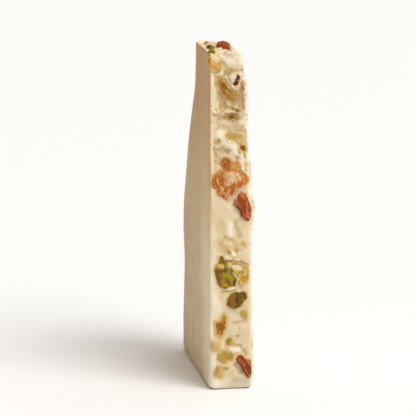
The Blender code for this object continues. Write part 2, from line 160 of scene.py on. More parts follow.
LOOKS = {
    "almond_skin": Look(
        (204, 112, 54), (142, 60, 26), (132, 58, 26), 0.25, (0.24, 0.7), (1, 1, 6),
        0.45, 0.06, 0.0, (0.3, 0.5), 0.3,
    ),
    "pistachio": Look(
        (154, 132, 16), (116, 88, 8), (136, 84, 18), 0.32, (0.16, 0.9), (1, 1, 2.5),
        0.4, 0.15, 0.1, (0.4, 0.9), 0.4,
    ),
    "toasted_nut": Look(
        (184, 130, 36), (148, 92, 10), (168, 110, 30), 0.2, (0.18, 1.5), (1, 1, 1),
        0.55, 0.15, 0.0, (0.75, 1.5), 0.6,
    ),
    "pale_nut": Look(
        (212, 182, 108), (188, 154, 78), (196, 146, 62), 0.2, (0.18, 1.7), (1, 1, 1),
        0.45, 0.2, 0.0, (0.5, 1.1), 0.9,
    ),
    "candied_orange": Look(
        (206, 126, 50), (172, 88, 16), (194, 112, 40), 0.2, (0.24, 1.2), (1, 1, 2),
        0.42, 0.3, 0.0, (0.6, 0.9), 0.6, 0.75,
    ),
    "candied_papaya": Look(
        (176, 78, 36), (148, 54, 22), (182, 94, 50), 0.25, (0.10, 1.4), (1, 1, 1),
        0.38, 0.25, 0.05, (0.3, 0.6), 0.3,
    ),
    "candied_melon": Look(
        (224, 172, 56), (202, 144, 30), (214, 166, 70), 0.2, (0.12, 1.5), (1, 1, 1),
        0.3, 0.4, 0.1, (0.4, 0.8), 0.4,
    ),
}


@dataclass
class Notes:
    """What is special about one piece. Places are (across, up) on the cut face, in millimetres."""

    sunk: float = 0.28  # how far its cut lies behind the solid's
    creep: float = 0.30  # how far the chocolate runs over its edge
    smear: float = 0.5  # how much of its edge the chocolate's colour takes
    skin: float = 1.0  # how much of its edge has skin
    side: tuple = None  # the direction in which it has skin, where that isn't all round
    patches: tuple = ()  # (across, up, to across, to up, width, colour)
    dents: tuple = ()  # (across, up, to across, to up, width, depth)
    swell: float = 0.0  # how much bigger it is all round than its solid, to meet its neighbours
    waver: float = 0.35  # how much the outlines of its patches wander, in millimetres
    flesh: tuple = None  # the colour of its broken face inside the skin, where that is another


PIECES = {
    "nut_crown": Notes(0.30, 0.15, 0.5, 0.0, None, (
        (-5.6, 103.4, -4.4, 103.0, 1.0, WHITE_NUT), (-7.1, 100.4, -7.2, 104.0, 0.5, (180, 100, 34)),
        (-5.8, 100.8, -4.2, 101.0, 1.1, (214, 170, 98))), swell=0.35),
    "almond_notch": Notes(0.25, 0.1, 0.1, 0.0, None, (
        (-1.0, 97.6, 1.4, 98.0, 2.6, (234, 218, 190)), (2.2, 98.2, 0.9, 95.1, 0.62, PLUM)), waver=0.0),
    "almond_sliver": Notes(0.2, 0.2, 0.8, 0.6, None, (
        (3.4, 95.6, 3.5, 92.6, 0.8, (216, 164, 130)), (3.2, 94.6, 3.4, 93.8, 0.35, (168, 104, 78)))),
    "toasted_nut_high": Notes(0.5, 0.3, 0.15, 0.0, None, (
        (-3.9, 96.6, -2.8, 95.4, 1.0, (172, 124, 34)), (-2.8, 94.9, -2.0, 93.8, 1.0, (146, 88, 16)),
        (-1.9, 93.6, -0.6, 92.4, 1.1, (156, 104, 36)), (0.4, 92.0, 1.4, 91.2, 1.2, (184, 136, 68))),
        ((-3.2, 95.2, -1.2, 92.8, 0.9, 0.4),)),
    "pale_nut_high": Notes(0.45, 0.35, 0.35, 0.0, None, (
        (-0.8, 79.9, 2.6, 79.6, 0.8, (196, 158, 78)), (0.4, 77.6, 2.6, 77.6, 1.0, (220, 192, 128)))),
    "toasted_chip_high": Notes(0.5, 0.2, 0.2, 0.0, None, ((2.9, 76.2, 3.9, 75.4, 1.2, (144, 82, 6)),)),
    "orange_upper": Notes(0.40, 0.1, 0.5, 0.0, None, (
        (-2.2, 72.3, -1.8, 71.8, 0.8, (156, 100, 18)), (-2.0, 70.9, -1.7, 69.8, 0.9, (166, 90, 18)),
        (0.2, 70.2, 1.8, 70.0, 0.9, (210, 152, 78))), swell=0.45),
    "orange_left": Notes(0.36, 0.1, 0.5, 0.0, None, (
        (-4.8, 65.6, -3.6, 65.0, 1.2, (172, 94, 24)), (-3.6, 67.8, -2.8, 68.0, 0.8, (192, 114, 38)),
        (-3.0, 63.0, -2.8, 62.0, 0.8, (196, 138, 72))), swell=0.5),
    "orange_right": Notes(0.34, 0.05, 0.5, 0.0, None, (
        (-0.8, 67.4, 1.8, 66.6, 1.7, (214, 168, 116)), (-0.9, 64.8, -0.6, 66.0, 0.8, (222, 190, 148)),
        (3.4, 65.8, 4.4, 66.2, 0.8, (206, 122, 40)), (2.2, 64.6, 3.0, 64.8, 0.5, (180, 86, 38)),
        (0.6, 63.8, -0.3, 61.4, 0.6, (172, 92, 46)), (-1.4, 61.6, -1.2, 61.0, 0.8, (204, 140, 96)),
        (0.2, 68.2, 1.6, 65.0, 0.22, (232, 202, 164)), (-0.9, 67.8, 0.6, 64.8, 0.22, (230, 198, 158)),
        (1.4, 68.2, 2.6, 66.0, 0.22, (228, 194, 150))), swell=0.5),
    "almond_stick_high": Notes(0.02, 0.0, 0.1, 0.6, (-0.7, -0.7), (
        (2.9, 61.8, 3.9, 60.4, 0.6, (204, 112, 50)), (4.6, 59.4, 5.0, 54.6, 0.5, (200, 108, 50)),
        (0.8, 59.4, 1.6, 58.2, 0.6, (186, 110, 76)), (2.4, 60.4, 3.6, 56.4, 0.5, (150, 66, 26)),
        (3.9, 59.6, 4.2, 55.6, 0.35, (140, 58, 22)), (2.0, 57.4, 3.2, 54.6, 0.5, (136, 56, 28)))),
    "pistachio_green": Notes(0.32, 0.1, 0.1, 1.0, (-0.9, -0.35), (
        (-3.6, 39.4, -2.8, 39.3, 0.6, (216, 182, 94)), (-5.2, 38.7, -4.4, 39.9, 0.6, (220, 162, 76)),
        (-3.0, 42.2, -2.7, 40.8, 0.7, (132, 78, 14)), (-1.6, 40.3, -1.0, 40.2, 0.4, (120, 96, 30)),
        (-1.5, 39.3, -1.3, 38.8, 0.5, (168, 158, 84)), (-4.6, 37.6, -4.0, 35.0, 0.7, (124, 80, 14)),
        (-3.4, 37.6, -2.0, 37.8, 0.9, (112, 88, 8)), (-2.6, 33.4, -1.2, 33.2, 0.5, (184, 144, 24)),
        (0.8, 35.8, 1.2, 33.2, 0.7, (96, 62, 8)), (-1.8, 36.6, 0.2, 35.4, 0.8, (160, 144, 14)))),
    "pale_nut_middle": Notes(0.42, 0.25, 0.3, 0.0, None, (
        (-0.3, 39.2, 2.4, 38.5, 1.0, (234, 216, 174)), (3.4, 35.2, 4.2, 35.2, 0.9, (194, 148, 36)),
        (2.2, 37.0, 3.4, 37.2, 0.7, (178, 154, 66)), (0.4, 39.9, 3.2, 39.7, 0.3, (150, 124, 44)),
        (4.0, 39.2, 5.2, 38.4, 0.5, (206, 150, 62)), (3.6, 33.4, 4.8, 33.2, 0.8, (212, 178, 100)))),
    "pistachio_dark": Notes(0.40, 0.3, 0.3, 0.6, (-0.3, -0.6), (
        (0.2, 30.6, 0.5, 26.4, 0.6, (138, 96, 10)), (-0.9, 29.6, -0.6, 26.6, 0.6, (122, 84, 16)),
        (1.5, 31.0, 1.9, 26.6, 0.5, (88, 60, 12)), (2.7, 30.4, 3.0, 27.6, 0.5, (112, 82, 6)),
        (3.7, 30.6, 4.6, 28.8, 0.7, (120, 72, 32)))),
    "pale_nut_low": Notes(0.42, 0.35, 0.4, 0.0, None, ((3.0, 24.6, 4.8, 22.8, 1.3, (188, 154, 76)),)),
    "toasted_nut_low": Notes(0.5, 0.2, 0.15, 0.0, None, (
        (-4.5, 21.6, -3.6, 21.6, 0.5, (196, 152, 78)), (-3.4, 20.8, -2.8, 19.6, 0.9, (146, 94, 12)),
        (-3.9, 18.6, -3.6, 17.8, 0.7, (178, 128, 42)), (-2.0, 23.6, -2.3, 22.0, 0.5, (172, 128, 50)))),
    "pistachio_bit": Notes(0.38, 0.15, 0.1, 0.0, None, (
        (-0.8, 16.3, -0.3, 16.1, 0.8, (174, 152, 22)), (-0.6, 14.9, -0.4, 14.7, 0.5, (200, 146, 56)))),
    "toasted_chip_low": Notes(0.5, 0.35, 0.5, 0.0, None, ((-5.4, 14.6, -4.8, 13.6, 1.3, (206, 170, 106)),)),
    "pale_nut_foot_upper": Notes(0.42, 0.25, 0.3, 0.0, None, (
        (-4.2, 12.0, -2.2, 12.2, 0.6, (194, 122, 24)), (-3.4, 10.8, -0.4, 10.6, 1.3, (182, 148, 66)),
        (-0.6, 8.9, 0.2, 8.9, 0.5, (212, 192, 118)), (-1.6, 11.6, 0.4, 11.0, 0.5, (176, 148, 74)))),
    "pale_nut_foot_lower": Notes(0.44, 0.3, 0.4, 0.0, None, (
        (-2.2, 7.0, -0.9, 6.9, 0.4, (162, 140, 62)), (-4.6, 6.6, -4.6, 4.8, 0.8, (190, 150, 80)),
        (-3.8, 7.8, -3.0, 7.6, 0.3, (172, 148, 76)), (-2.8, 5.8, -2.2, 5.6, 0.7, (210, 186, 130)))),
    "almond_stick_low": Notes(0.04, 0.0, 0.1, 1.0, (-0.7, -0.6), (
        (2.2, 10.6, 5.6, 5.0, 0.35, (170, 88, 34)), (3.2, 10.6, 6.1, 6.2, 0.3, (104, 44, 18)),
        (4.2, 10.0, 6.2, 7.6, 0.45, (186, 104, 46)), (1.8, 9.4, 5.0, 4.4, 0.35, (122, 56, 22)),
        (4.4, 7.4, 5.6, 5.2, 0.4, (128, 56, 20)), (5.4, 9.6, 6.0, 9.2, 0.5, (196, 116, 48)))),
    "almond_top": Notes(0.0, 0.1, 0.1, 0.0),
    "almond_back": Notes(0.2, 0.5, 0.2, flesh=ALMOND_FLESH),
    "almond_back_low": Notes(0.3, 1.0, 0.3, flesh=ALMOND_FLESH),
    "pistachio_back_high": Notes(creep=0.7),
    "papaya_back": Notes(creep=1.6),
    "melon_back": Notes(creep=1.2),
    "orange_back": Notes(creep=0.8),
    "pistachio_back_low": Notes(creep=1.1),
    "papaya_back_low": Notes(creep=1.3),
    "pistachio_top": Notes(0.2, 0.2, 0.2, 0.2),
    "pistachio_crown": Notes(0.2, 0.2, 0.2, 0.0),
}
PLAIN = Notes()


# ---------------------------------------------------------------- fields of distances

# What a layer of values is called, by how many numbers each point has
LAYER_KINDS = {1: ("FLOAT", "value"), 3: ("FLOAT_VECTOR", "vector"), 4: ("FLOAT_COLOR", "color")}


class Lattice:
    """A block of cubic cells. A field on it holds one number at each crossing."""

    def __init__(self, low, high, pitch):
        self.pitch = pitch
        self.first = np.floor(np.asarray(low) / pitch).astype(int)
        last = np.ceil(np.asarray(high) / pitch).astype(int)
        self.shape = tuple(int(n) for n in last - self.first + 1)
        self.transform = vdb.createLinearTransform(voxelSize=pitch)
        self.low = self.first * pitch
        self.high = last * pitch

    def points(self, where=None):
        """The places of the crossings, all of them or those in a mask, one row each."""
        if where is None:
            where = np.ones(self.shape, bool)
        return (np.argwhere(where) + self.first) * self.pitch

    def distance(self, points, triangles, quads=None):
        """How far each crossing is from a closed skin: below zero inside it."""
        grid = vdb.FloatGrid.createLevelSetFromPolygons(
            points.astype(np.float32),
            triangles=triangles.astype(np.uint32),
            quads=None if quads is None else quads.astype(np.uint32),
            transform=self.transform,
            halfWidth=REACH / self.pitch,
        )
        field = np.empty(self.shape, np.float32)
        grid.copyToArray(field, ijk=tuple(int(n) for n in self.first))
        return field

    def skin(self, field, level=0.0):
        """Points, triangles and quads of the surface where the field has this level."""
        grid = vdb.FloatGrid(REACH)
        grid.copyFromArray(np.ascontiguousarray(field, np.float32), ijk=tuple(int(n) for n in self.first))
        grid.transform = self.transform
        return grid.convertToPolygons(isovalue=level, adaptivity=0.0)

    def sample(self, field, points, outside=REACH):
        """The field's value at any points, straight between the crossings."""
        place = np.asarray(points) / self.pitch - self.first
        cell = np.floor(place).astype(int)
        inside = np.all((cell >= 0) & (cell < np.array(self.shape) - 1), axis=1)
        here, part = cell[inside], (place - cell)[inside]
        total = np.zeros(len(here))
        for corner in itertools.product((0, 1), repeat=3):
            weight = np.prod(np.where(corner, part, 1.0 - part), axis=1)
            total += weight * field[tuple((here + corner).T)]
        value = np.full(len(place), outside, np.float32)
        value[inside] = total
        return value

    def closed(self, field, radius):
        """The field with every gap and sharp hollow narrower than twice this radius filled."""
        return self.distance(*self.skin(field, radius)) + radius

    def softened(self, field, amount):
        """The field blurred by this much, in square millimetres, however fine the lattice is."""
        return blur(field, round(amount / self.pitch**2))

    def holds(self, points):
        """Which of the points lie in the block."""
        return np.all((points > self.low) & (points < self.high), axis=1)


def blur(field, passes):
    """The field, softened a little on each pass."""
    for _ in range(passes):
        for axis in range(3):
            inner = [slice(None)] * 3
            before, after = list(inner), list(inner)
            inner[axis], before[axis], after[axis] = slice(1, -1), slice(0, -2), slice(2, None)
            softer = field.copy()
            beside = 0.25 * field[tuple(before)] + 0.25 * field[tuple(after)]
            softer[tuple(inner)] = 0.5 * field[tuple(inner)] + beside
            field = softer
    return field


def ease(value, start, end):
    """0 before start, 1 after end, and smooth in between. It works either way round."""
    share = np.clip((value - start) / (end - start), 0.0, 1.0)
    return share * share * (3.0 - 2.0 * share)


def hashed(cell, seed):
    """A number from 0 to 1 for each cell, always the same."""
    c = cell.astype(np.uint32)
    mixed = c[:, 0] * np.uint32(73856093) ^ c[:, 1] * np.uint32(19349663) ^ c[:, 2] * np.uint32(83492791)
    mixed ^= np.uint32(seed * 2654435761 & 0xFFFFFFFF)
    mixed = (mixed ^ mixed >> np.uint32(15)) * np.uint32(2246822519)
    mixed = (mixed ^ mixed >> np.uint32(13)) * np.uint32(3266489917)
    return (mixed ^ mixed >> np.uint32(16)) / np.float64(2**32)


def noise(points, size, seed, octaves=3):
    """Layered smooth noise, about -1 to 1, whose largest lumps are this many millimetres across."""
    total = np.zeros(len(points))
    strength = 1.0
    for octave in range(octaves):
        place = np.asarray(points) * (2.03**octave / np.asarray(size, float)) + 17.3 * octave
        cell = np.floor(place).astype(np.int64)
        share = place - cell
        share = share * share * share * (share * (share * 6.0 - 15.0) + 10.0)
        for corner in itertools.product((0, 1), repeat=3):
            weight = np.prod(np.where(corner, share, 1.0 - share), axis=1)
            total += strength * weight * (2.0 * hashed(cell + corner, seed + octave) - 1.0)
        strength *= 0.5
    return total


def crumbs(points, size, seed):
    """A crumbled surface: each point's crumb has a height, 0 to 1, and ends at a sharp crack."""
    place = np.asarray(points) / size
    cell = np.floor(place).astype(np.int64)
    nearest = np.full(len(place), 9.0)
    second = nearest.copy()
    height = np.zeros(len(place))
    for step in itertools.product((-1, 0, 1), repeat=3):
        here = cell + step
        heart = here + np.stack([hashed(here, seed + axis) for axis in range(3)], axis=1)
        away = np.linalg.norm(place - heart, axis=1)
        closer = away < nearest
        second = np.where(closer, nearest, np.minimum(second, away))
        nearest = np.where(closer, away, nearest)
        height = np.where(closer, hashed(here, seed + 3), height)
    return height * ease(second - nearest, 0.0, 0.35)


def stroke(across, up, x0, z0, x1, z1, width):
    """1 on a line drawn on the cut face, fading to 0 about this width away from it."""
    run = np.array([x1 - x0, z1 - z0])
    length = np.linalg.norm(run)
    run = run / max(length, 1e-6)
    dx, dz = across - x0, up - z0
    t = np.clip(dx * run[0] + dz * run[1], 0.0, length)
    away = np.hypot(dx - t * run[0], dz - t * run[1]) / width
    return np.exp(-away * away)


def profile(pairs, height):
    """The value of a (height, value) profile, on straight lines."""
    heights, values = zip(*pairs)
    return np.interp(height, heights, values)


def all_over(colour, points):
    """The same screen colour for every point."""
    return np.tile(np.array(colour, float), (len(points), 1))


def blend(base, colour, share):
    """Screen colours moved towards another by a share for each row."""
    return base + (np.asarray(colour, float) - base) * np.asarray(share)[:, None]


def painted(colour, layers):
    """Screen colours under layers, each with its own colour and its share for each row."""
    for layer, share in layers:
        colour = blend(colour, layer, share)
    return colour


def on_face(points):
    """Places as they lie on the cut face: how far across and how far up."""
    return points[:, 0] - MIDDLE, points[:, 2]


def solid(name):
    """The points, in millimetres, and triangles of a node of the frame."""
    node = frame["nodes"][name]
    node.data.calc_loop_triangles()
    triangles = np.empty(len(node.data.loop_triangles) * 3, np.int32)
    node.data.loop_triangles.foreach_get("vertices", triangles)
    return points_of(node), triangles.reshape(-1, 3)


def add_object(name, data):
    """A new object in the scene."""
    thing = bpy.data.objects.new(name, data)
    bpy.context.scene.collection.objects.link(thing)
    return thing


def points_of(piece):
    """A piece's points, in millimetres."""
    points = np.empty(len(piece.data.vertices) * 3, np.float32)
    piece.data.vertices.foreach_get("co", points)
    return points.reshape(-1, 3) / MM


def add_piece(name, points, *faces):
    """A smooth mesh of these faces, in millimetres, that rides on the body."""
    sizes = np.concatenate([np.full(len(f), f.shape[1], np.int32) for f in faces])
    corners = np.concatenate([f.ravel() for f in faces]).astype(np.int32)
    mesh = bpy.data.meshes.new(name)
    mesh.vertices.add(len(points))
    mesh.vertices.foreach_set("co", (points * MM).astype(np.float32).ravel())
    mesh.loops.add(len(corners))
    mesh.loops.foreach_set("vertex_index", corners)
    mesh.polygons.add(len(sizes))
    mesh.polygons.foreach_set("loop_start", np.concatenate([[0], np.cumsum(sizes)[:-1]]).astype(np.int32))
    mesh.update(calc_edges=True)
    mesh.validate()
    mesh.shade_smooth()
    piece = add_object(name, mesh)
    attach(piece, "root")
    return piece


def add_layer(piece, name, values):
    """Numbers, vectors or colours at each point for the material to read."""
    values = np.asarray(values, np.float32)
    kind, key = LAYER_KINDS[1 if values.ndim == 1 else values.shape[1]]
    piece.data.attributes.new(name, kind, "POINT").data.foreach_set(key, values.ravel())


def add_tint(piece, colours):
    """A screen colour at each point for the material to read."""
    share = np.clip(colours, 0.0, 255.0) / 255.0
    light = np.where(share <= 0.04045, share / 12.92, ((share + 0.055) / 1.055) ** 2.4)
    add_layer(piece, "tint", np.column_stack([light, np.ones(len(light))]))


# ---------------------------------------------------------------- nuts and fruit

LARGEST_FACES = 24  # so many of a solid's faces are tried as part of its flat cut
SAME_WAY = 0.9995  # faces of one flat face point the same way: the least cosine between them
SAME_PLANE = 0.02  # and lie this near to one plane, in millimetres
LEAST_CUT = 0.13  # a flat face is a cut where it has more than this share of the skin
MIRROR_INSET = 0.5  # the mirror stands this far inside a cut, clear of its edges
FILLING_SOFTNESS = 0.06  # how much a solid's facets are blurred, in square millimetres
RELIEF_REACH = 1.2  # relief is worked out this near to a filling's surface
CUT_BAND = 1.6  # and this near to its cut


def cut_plane(points, triangles):
    """The flat face that a knife or the break left: a point on it and its outward direction, or None."""
    a, b, c = (points[triangles[:, i]] for i in range(3))
    cross = np.cross(b - a, c - a)
    area = np.linalg.norm(cross, axis=1) * 0.5
    normal = cross / (2.0 * area[:, None] + 1e-12)
    offset = np.einsum("ij,ij->i", normal, a)
    best, share = None, 0.0
    for i in np.argsort(-area)[:LARGEST_FACES]:
        alike = (normal @ normal[i] > SAME_WAY) & (np.abs(offset - offset[i]) < SAME_PLANE)
        part = area[alike].sum() / area.sum()
        if part > share:
            best, share = i, part
    if share < LEAST_CUT:
        return None
    return a[best], normal[best]


class Filling:
    """One nut or fruit: its whole form as if uncut, and where it was cut."""

    def __init__(self, name, index):
        self.name, self.seed = name, 40 * index
        self.slot = SLOTS[name]
        self.look = LOOKS[self.slot]
        self.notes = PIECES.get(name, PLAIN)
        points, triangles = solid(name)
        self.cut = cut_plane(points, triangles)
        self.front = points[:, 1].min() < CUT_Y + CUT_REACH
        pitch = FRONT_PITCH if self.front else FILLING_PITCH
        low, high = points.min(axis=0), points.max(axis=0)
        self.lattice = Lattice(low - FILLING_MARGIN, high + FILLING_MARGIN, pitch)
        self.centre = points.mean(axis=0)
        _, _, rows = np.linalg.svd(points - self.centre, full_matrices=False)
        self.axes = rows[::-1]
        self.whole = self.whole_form(points, triangles)
        self.shown = self.form()

    def grain(self, place):
        """Places in the piece's own directions, from its centre."""
        return (place - self.centre) @ self.axes.T

    def ahead(self, place):
        """How far places lie in front of the cut."""
        return (place - self.cut[0]) @ self.cut[1]

    def whole_form(self, points, triangles):
        """Distances to the uncut form, with its relief: beyond the cut it is the mirror image."""
        field = self.lattice.distance(points, triangles)
        if self.cut is not None:
            place = self.lattice.points()
            ahead = self.ahead(place) + MIRROR_INSET
            beyond = ahead > 0.0
            mirrored = place[beyond] - 2.0 * ahead[beyond, None] * self.cut[1]
            flat = field.ravel()
            flat[beyond] = self.lattice.sample(field, mirrored)
            field = flat.reshape(self.lattice.shape)
        field = self.lattice.softened(field, FILLING_SOFTNESS) - self.notes.swell
        near = np.abs(field) < RELIEF_REACH
        height, size = self.look.relief
        local = self.grain(self.lattice.points(near))
        field[near] += height * noise(local, np.multiply(self.look.streaks, size), self.seed, 3)
        field[near] += 0.9 * height * noise(local, 2.8, self.seed + 5, 2)
        return field

    def form(self):
        """Distances to the form that shows: the uncut form behind a cut that isn't quite flat."""
        if self.cut is None:
            return self.whole
        place = self.lattice.points()
        ahead = self.ahead(place)
        near = np.abs(ahead) < CUT_BAND
        here = place[near]
        sunk = self.notes.sunk + self.look.relief[0] * noise(here, 1.7, self.seed + 9, 3)
        for *line, depth in self.notes.dents:
            sunk += depth * stroke(*on_face(here), *line)
        ahead[near] += np.maximum(sunk, 0.0)
        return np.maximum(self.whole, ahead.reshape(self.lattice.shape))

    def skinned(self, points, inside, wander, thickness):
        """How much skin each point has."""
        depth, bald = self.look.skin_depth, 1.0 - self.notes.skin
        share = ease(inside, depth * 1.4, depth * 0.5) * ease(thickness, bald - 0.15, bald + 0.15)
        if self.notes.side is not None:
            out = points[:, [0, 2]] - self.centre[[0, 2]]
            out /= np.linalg.norm(out, axis=1, keepdims=True) + 1e-6
            share *= ease(out @ np.array(self.notes.side) + 0.3 * wander, 0.0, 0.5)
        return share

    def bare(self, points, inside, wander):
        """How far each point is in the broken face, inside the skin round it."""
        depth = self.look.skin_depth
        return ease(self.ahead(points), -1.3, -0.7) * ease(inside + 0.3 * wander, depth * 0.6, depth * 1.2)

    def sugared(self, points):
        """Where sugar has dried on it, in slanting streaks."""
        x, y, z = points.T
        slant = np.column_stack([x + 0.5 * z, y, z - 0.5 * x])
        dried = ease(noise(slant, (0.55, 0.7, 1.6), self.seed + 17, 2), 0.0, 0.9)
        return dried * ease(noise(points, 2.6, self.seed + 19, 2), -0.5, 0.3)

    def colours(self, points, inside):
        """Screen colours at the piece's points, which lie this far inside the uncut form."""
        look, notes = self.look, self.notes
        mottle = noise(self.grain(points), np.multiply(look.streaks, 1.1), self.seed + 11, 3)
        wander = notes.waver * noise(points, 0.9, self.seed + 13, 2)
        thickness = noise(points, 1.6, self.seed + 15, 2) * 0.5 + 0.5
        across, up = on_face(points)
        colour = blend(all_over(look.dark, points), look.light, ease(mottle, -0.7, 0.7))
        if notes.flesh is not None and self.cut is not None:
            colour = blend(colour, notes.flesh, self.bare(points, inside, wander))
        colour = blend(colour, look.skin, self.skinned(points, inside, wander, thickness))
        for *line, patch in notes.patches if self.front else ():
            near = stroke(across + wander, up - wander, *line)
            colour = blend(colour, patch, ease(near, 0.15, 0.75))
        if look.frost:
            colour = blend(colour, FROST, look.frost * self.sugared(points))
        if self.cut is not None:
            film = ease(inside + 0.6 * wander, look.film, 0.0) * notes.smear
            colour = blend(colour, BUTTER, film * ease(thickness, 0.1, 0.6))
        return colour

    def add(self):
        """The piece that shows, in place of its solid."""
        points, triangles, quads = self.lattice.skin(self.shown)
        points = np.clip(points, BOX_LOW, BOX_HIGH)
        piece = add_piece(self.name + "_fine", points, triangles[:, ::-1], quads[:, ::-1])
        add_tint(piece, self.colours(points, -self.lattice.sample(self.whole, points)))
        add_layer(piece, "grain", self.grain(points) * MM)
        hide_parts(self.name)
        return piece


# ---------------------------------------------------------------- the chocolate

# How rough the cut face is, as (height, share)
CUT_ROUGHNESS = (
    (0, 0.1), (14, 0.2), (24, 0.12), (30, 0.2), (40, 0.35), (46, 0.35), (49, 0.1), (58, 0.1), (61, 0.35),
    (69, 0.5), (73, 0.4), (80, 0.45), (84, 0.8), (90, 0.95), (97, 0.8), (100, 0.45), (106, 0.3),
)
# Ridges (above zero) and hollows of the cut face: from (across, up) to (across, up), width and height
CUT_STROKES = (
    (0.6, 103.2, 2.6, 101.6, 1.8, 0.26), (-2.4, 101.4, -1.8, 100.4, 0.7, -0.2),
    (-6.2, 98.7, -3.0, 98.9, 0.6, 0.3), (-2.0, 98.9, -0.6, 99.5, 0.7, -0.4),
    (-0.6, 99.5, 3.6, 99.3, 0.7, -0.42), (-4.0, 104.1, 0.0, 103.9, 0.5, -0.15),
    (-1.7, 97.6, 0.6, 94.0, 0.4, 0.3), (0.6, 94.0, 2.6, 94.8, 0.4, 0.25),
    (-3.6, 92.5, -3.0, 89.0, 1.2, -0.25), (-2.4, 88.5, 0.4, 87.8, 0.45, -0.3),
    (0.4, 87.8, 2.2, 87.3, 0.45, -0.25), (-5.9, 86.3, -4.6, 86.0, 0.4, -0.3),
    (-3.8, 84.9, -2.4, 84.8, 0.5, -0.35), (-1.6, 87.0, 2.4, 86.4, 0.5, 0.22),
    (-2.2, 83.4, 2.8, 83.0, 0.8, 0.2), (3.2, 97.0, 4.4, 90.0, 0.5, 0.2),
    (-3.6, 80.4, -0.8, 77.6, 1.5, 0.34), (-0.8, 77.4, 2.6, 74.4, 1.4, 0.38),
    (2.2, 81.2, 4.0, 80.9, 0.4, -0.25), (-5.7, 76.0, -4.9, 73.6, 0.5, -0.25),
    (-4.4, 75.3, -2.2, 75.2, 0.4, -0.3), (3.9, 74.0, 3.9, 72.8, 0.35, -0.35),
    (2.0, 74.6, 2.4, 74.3, 0.4, -0.3), (1.8, 73.0, 1.8, 72.2, 0.5, -0.25),
    (3.0, 73.4, 3.0, 69.4, 0.6, 0.28), (3.0, 69.4, 4.6, 67.6, 0.5, 0.28),
    (-1.5, 63.8, -1.1, 66.6, 0.3, 0.2), (0.8, 63.1, 2.2, 63.0, 0.45, 0.3), (4.6, 63.6, 5.4, 61.0, 0.6, 0.2),
    (1.2, 52.4, 2.6, 48.6, 0.9, -0.14), (-0.5, 52.5, -0.4, 49.2, 1.0, 0.14),
    (-3.4, 46.4, -2.0, 48.3, 0.7, -0.14), (-2.0, 48.3, 0.1, 47.3, 0.7, -0.12),
    (0.3, 47.0, 1.6, 44.0, 0.7, -0.14), (-2.2, 46.2, 0.2, 45.8, 0.9, 0.2),
    (0.2, 43.0, 1.0, 42.8, 0.5, 0.25), (-2.0, 40.8, -0.4, 40.5, 0.45, -0.3),
    (-0.4, 40.5, 3.0, 40.2, 0.4, -0.26), (3.0, 40.2, 5.2, 39.3, 0.4, -0.26),
    (-4.6, 43.2, -1.4, 41.8, 0.6, 0.18), (-2.6, 31.2, -1.4, 31.2, 0.5, -0.25),
    (-1.8, 32.3, 0.8, 32.2, 0.4, 0.2), (-1.2, 25.0, 1.6, 24.6, 1.4, 0.16),
    (1.0, 21.2, 4.8, 21.4, 0.6, -0.12), (-2.2, 18.0, 3.6, 18.4, 1.6, 0.12),
    (0.0, 14.3, 2.6, 14.1, 0.5, -0.2), (2.8, 13.4, 4.6, 11.4, 0.6, -0.18),
    (0.0, 12.7, 2.6, 12.7, 0.8, 0.16), (1.2, 8.0, 2.8, 5.4, 0.8, -0.28),
    (-3.2, 13.8, -2.2, 17.0, 0.6, 0.12), (1.4, 2.6, 3.4, 2.2, 1.2, -0.14),
)
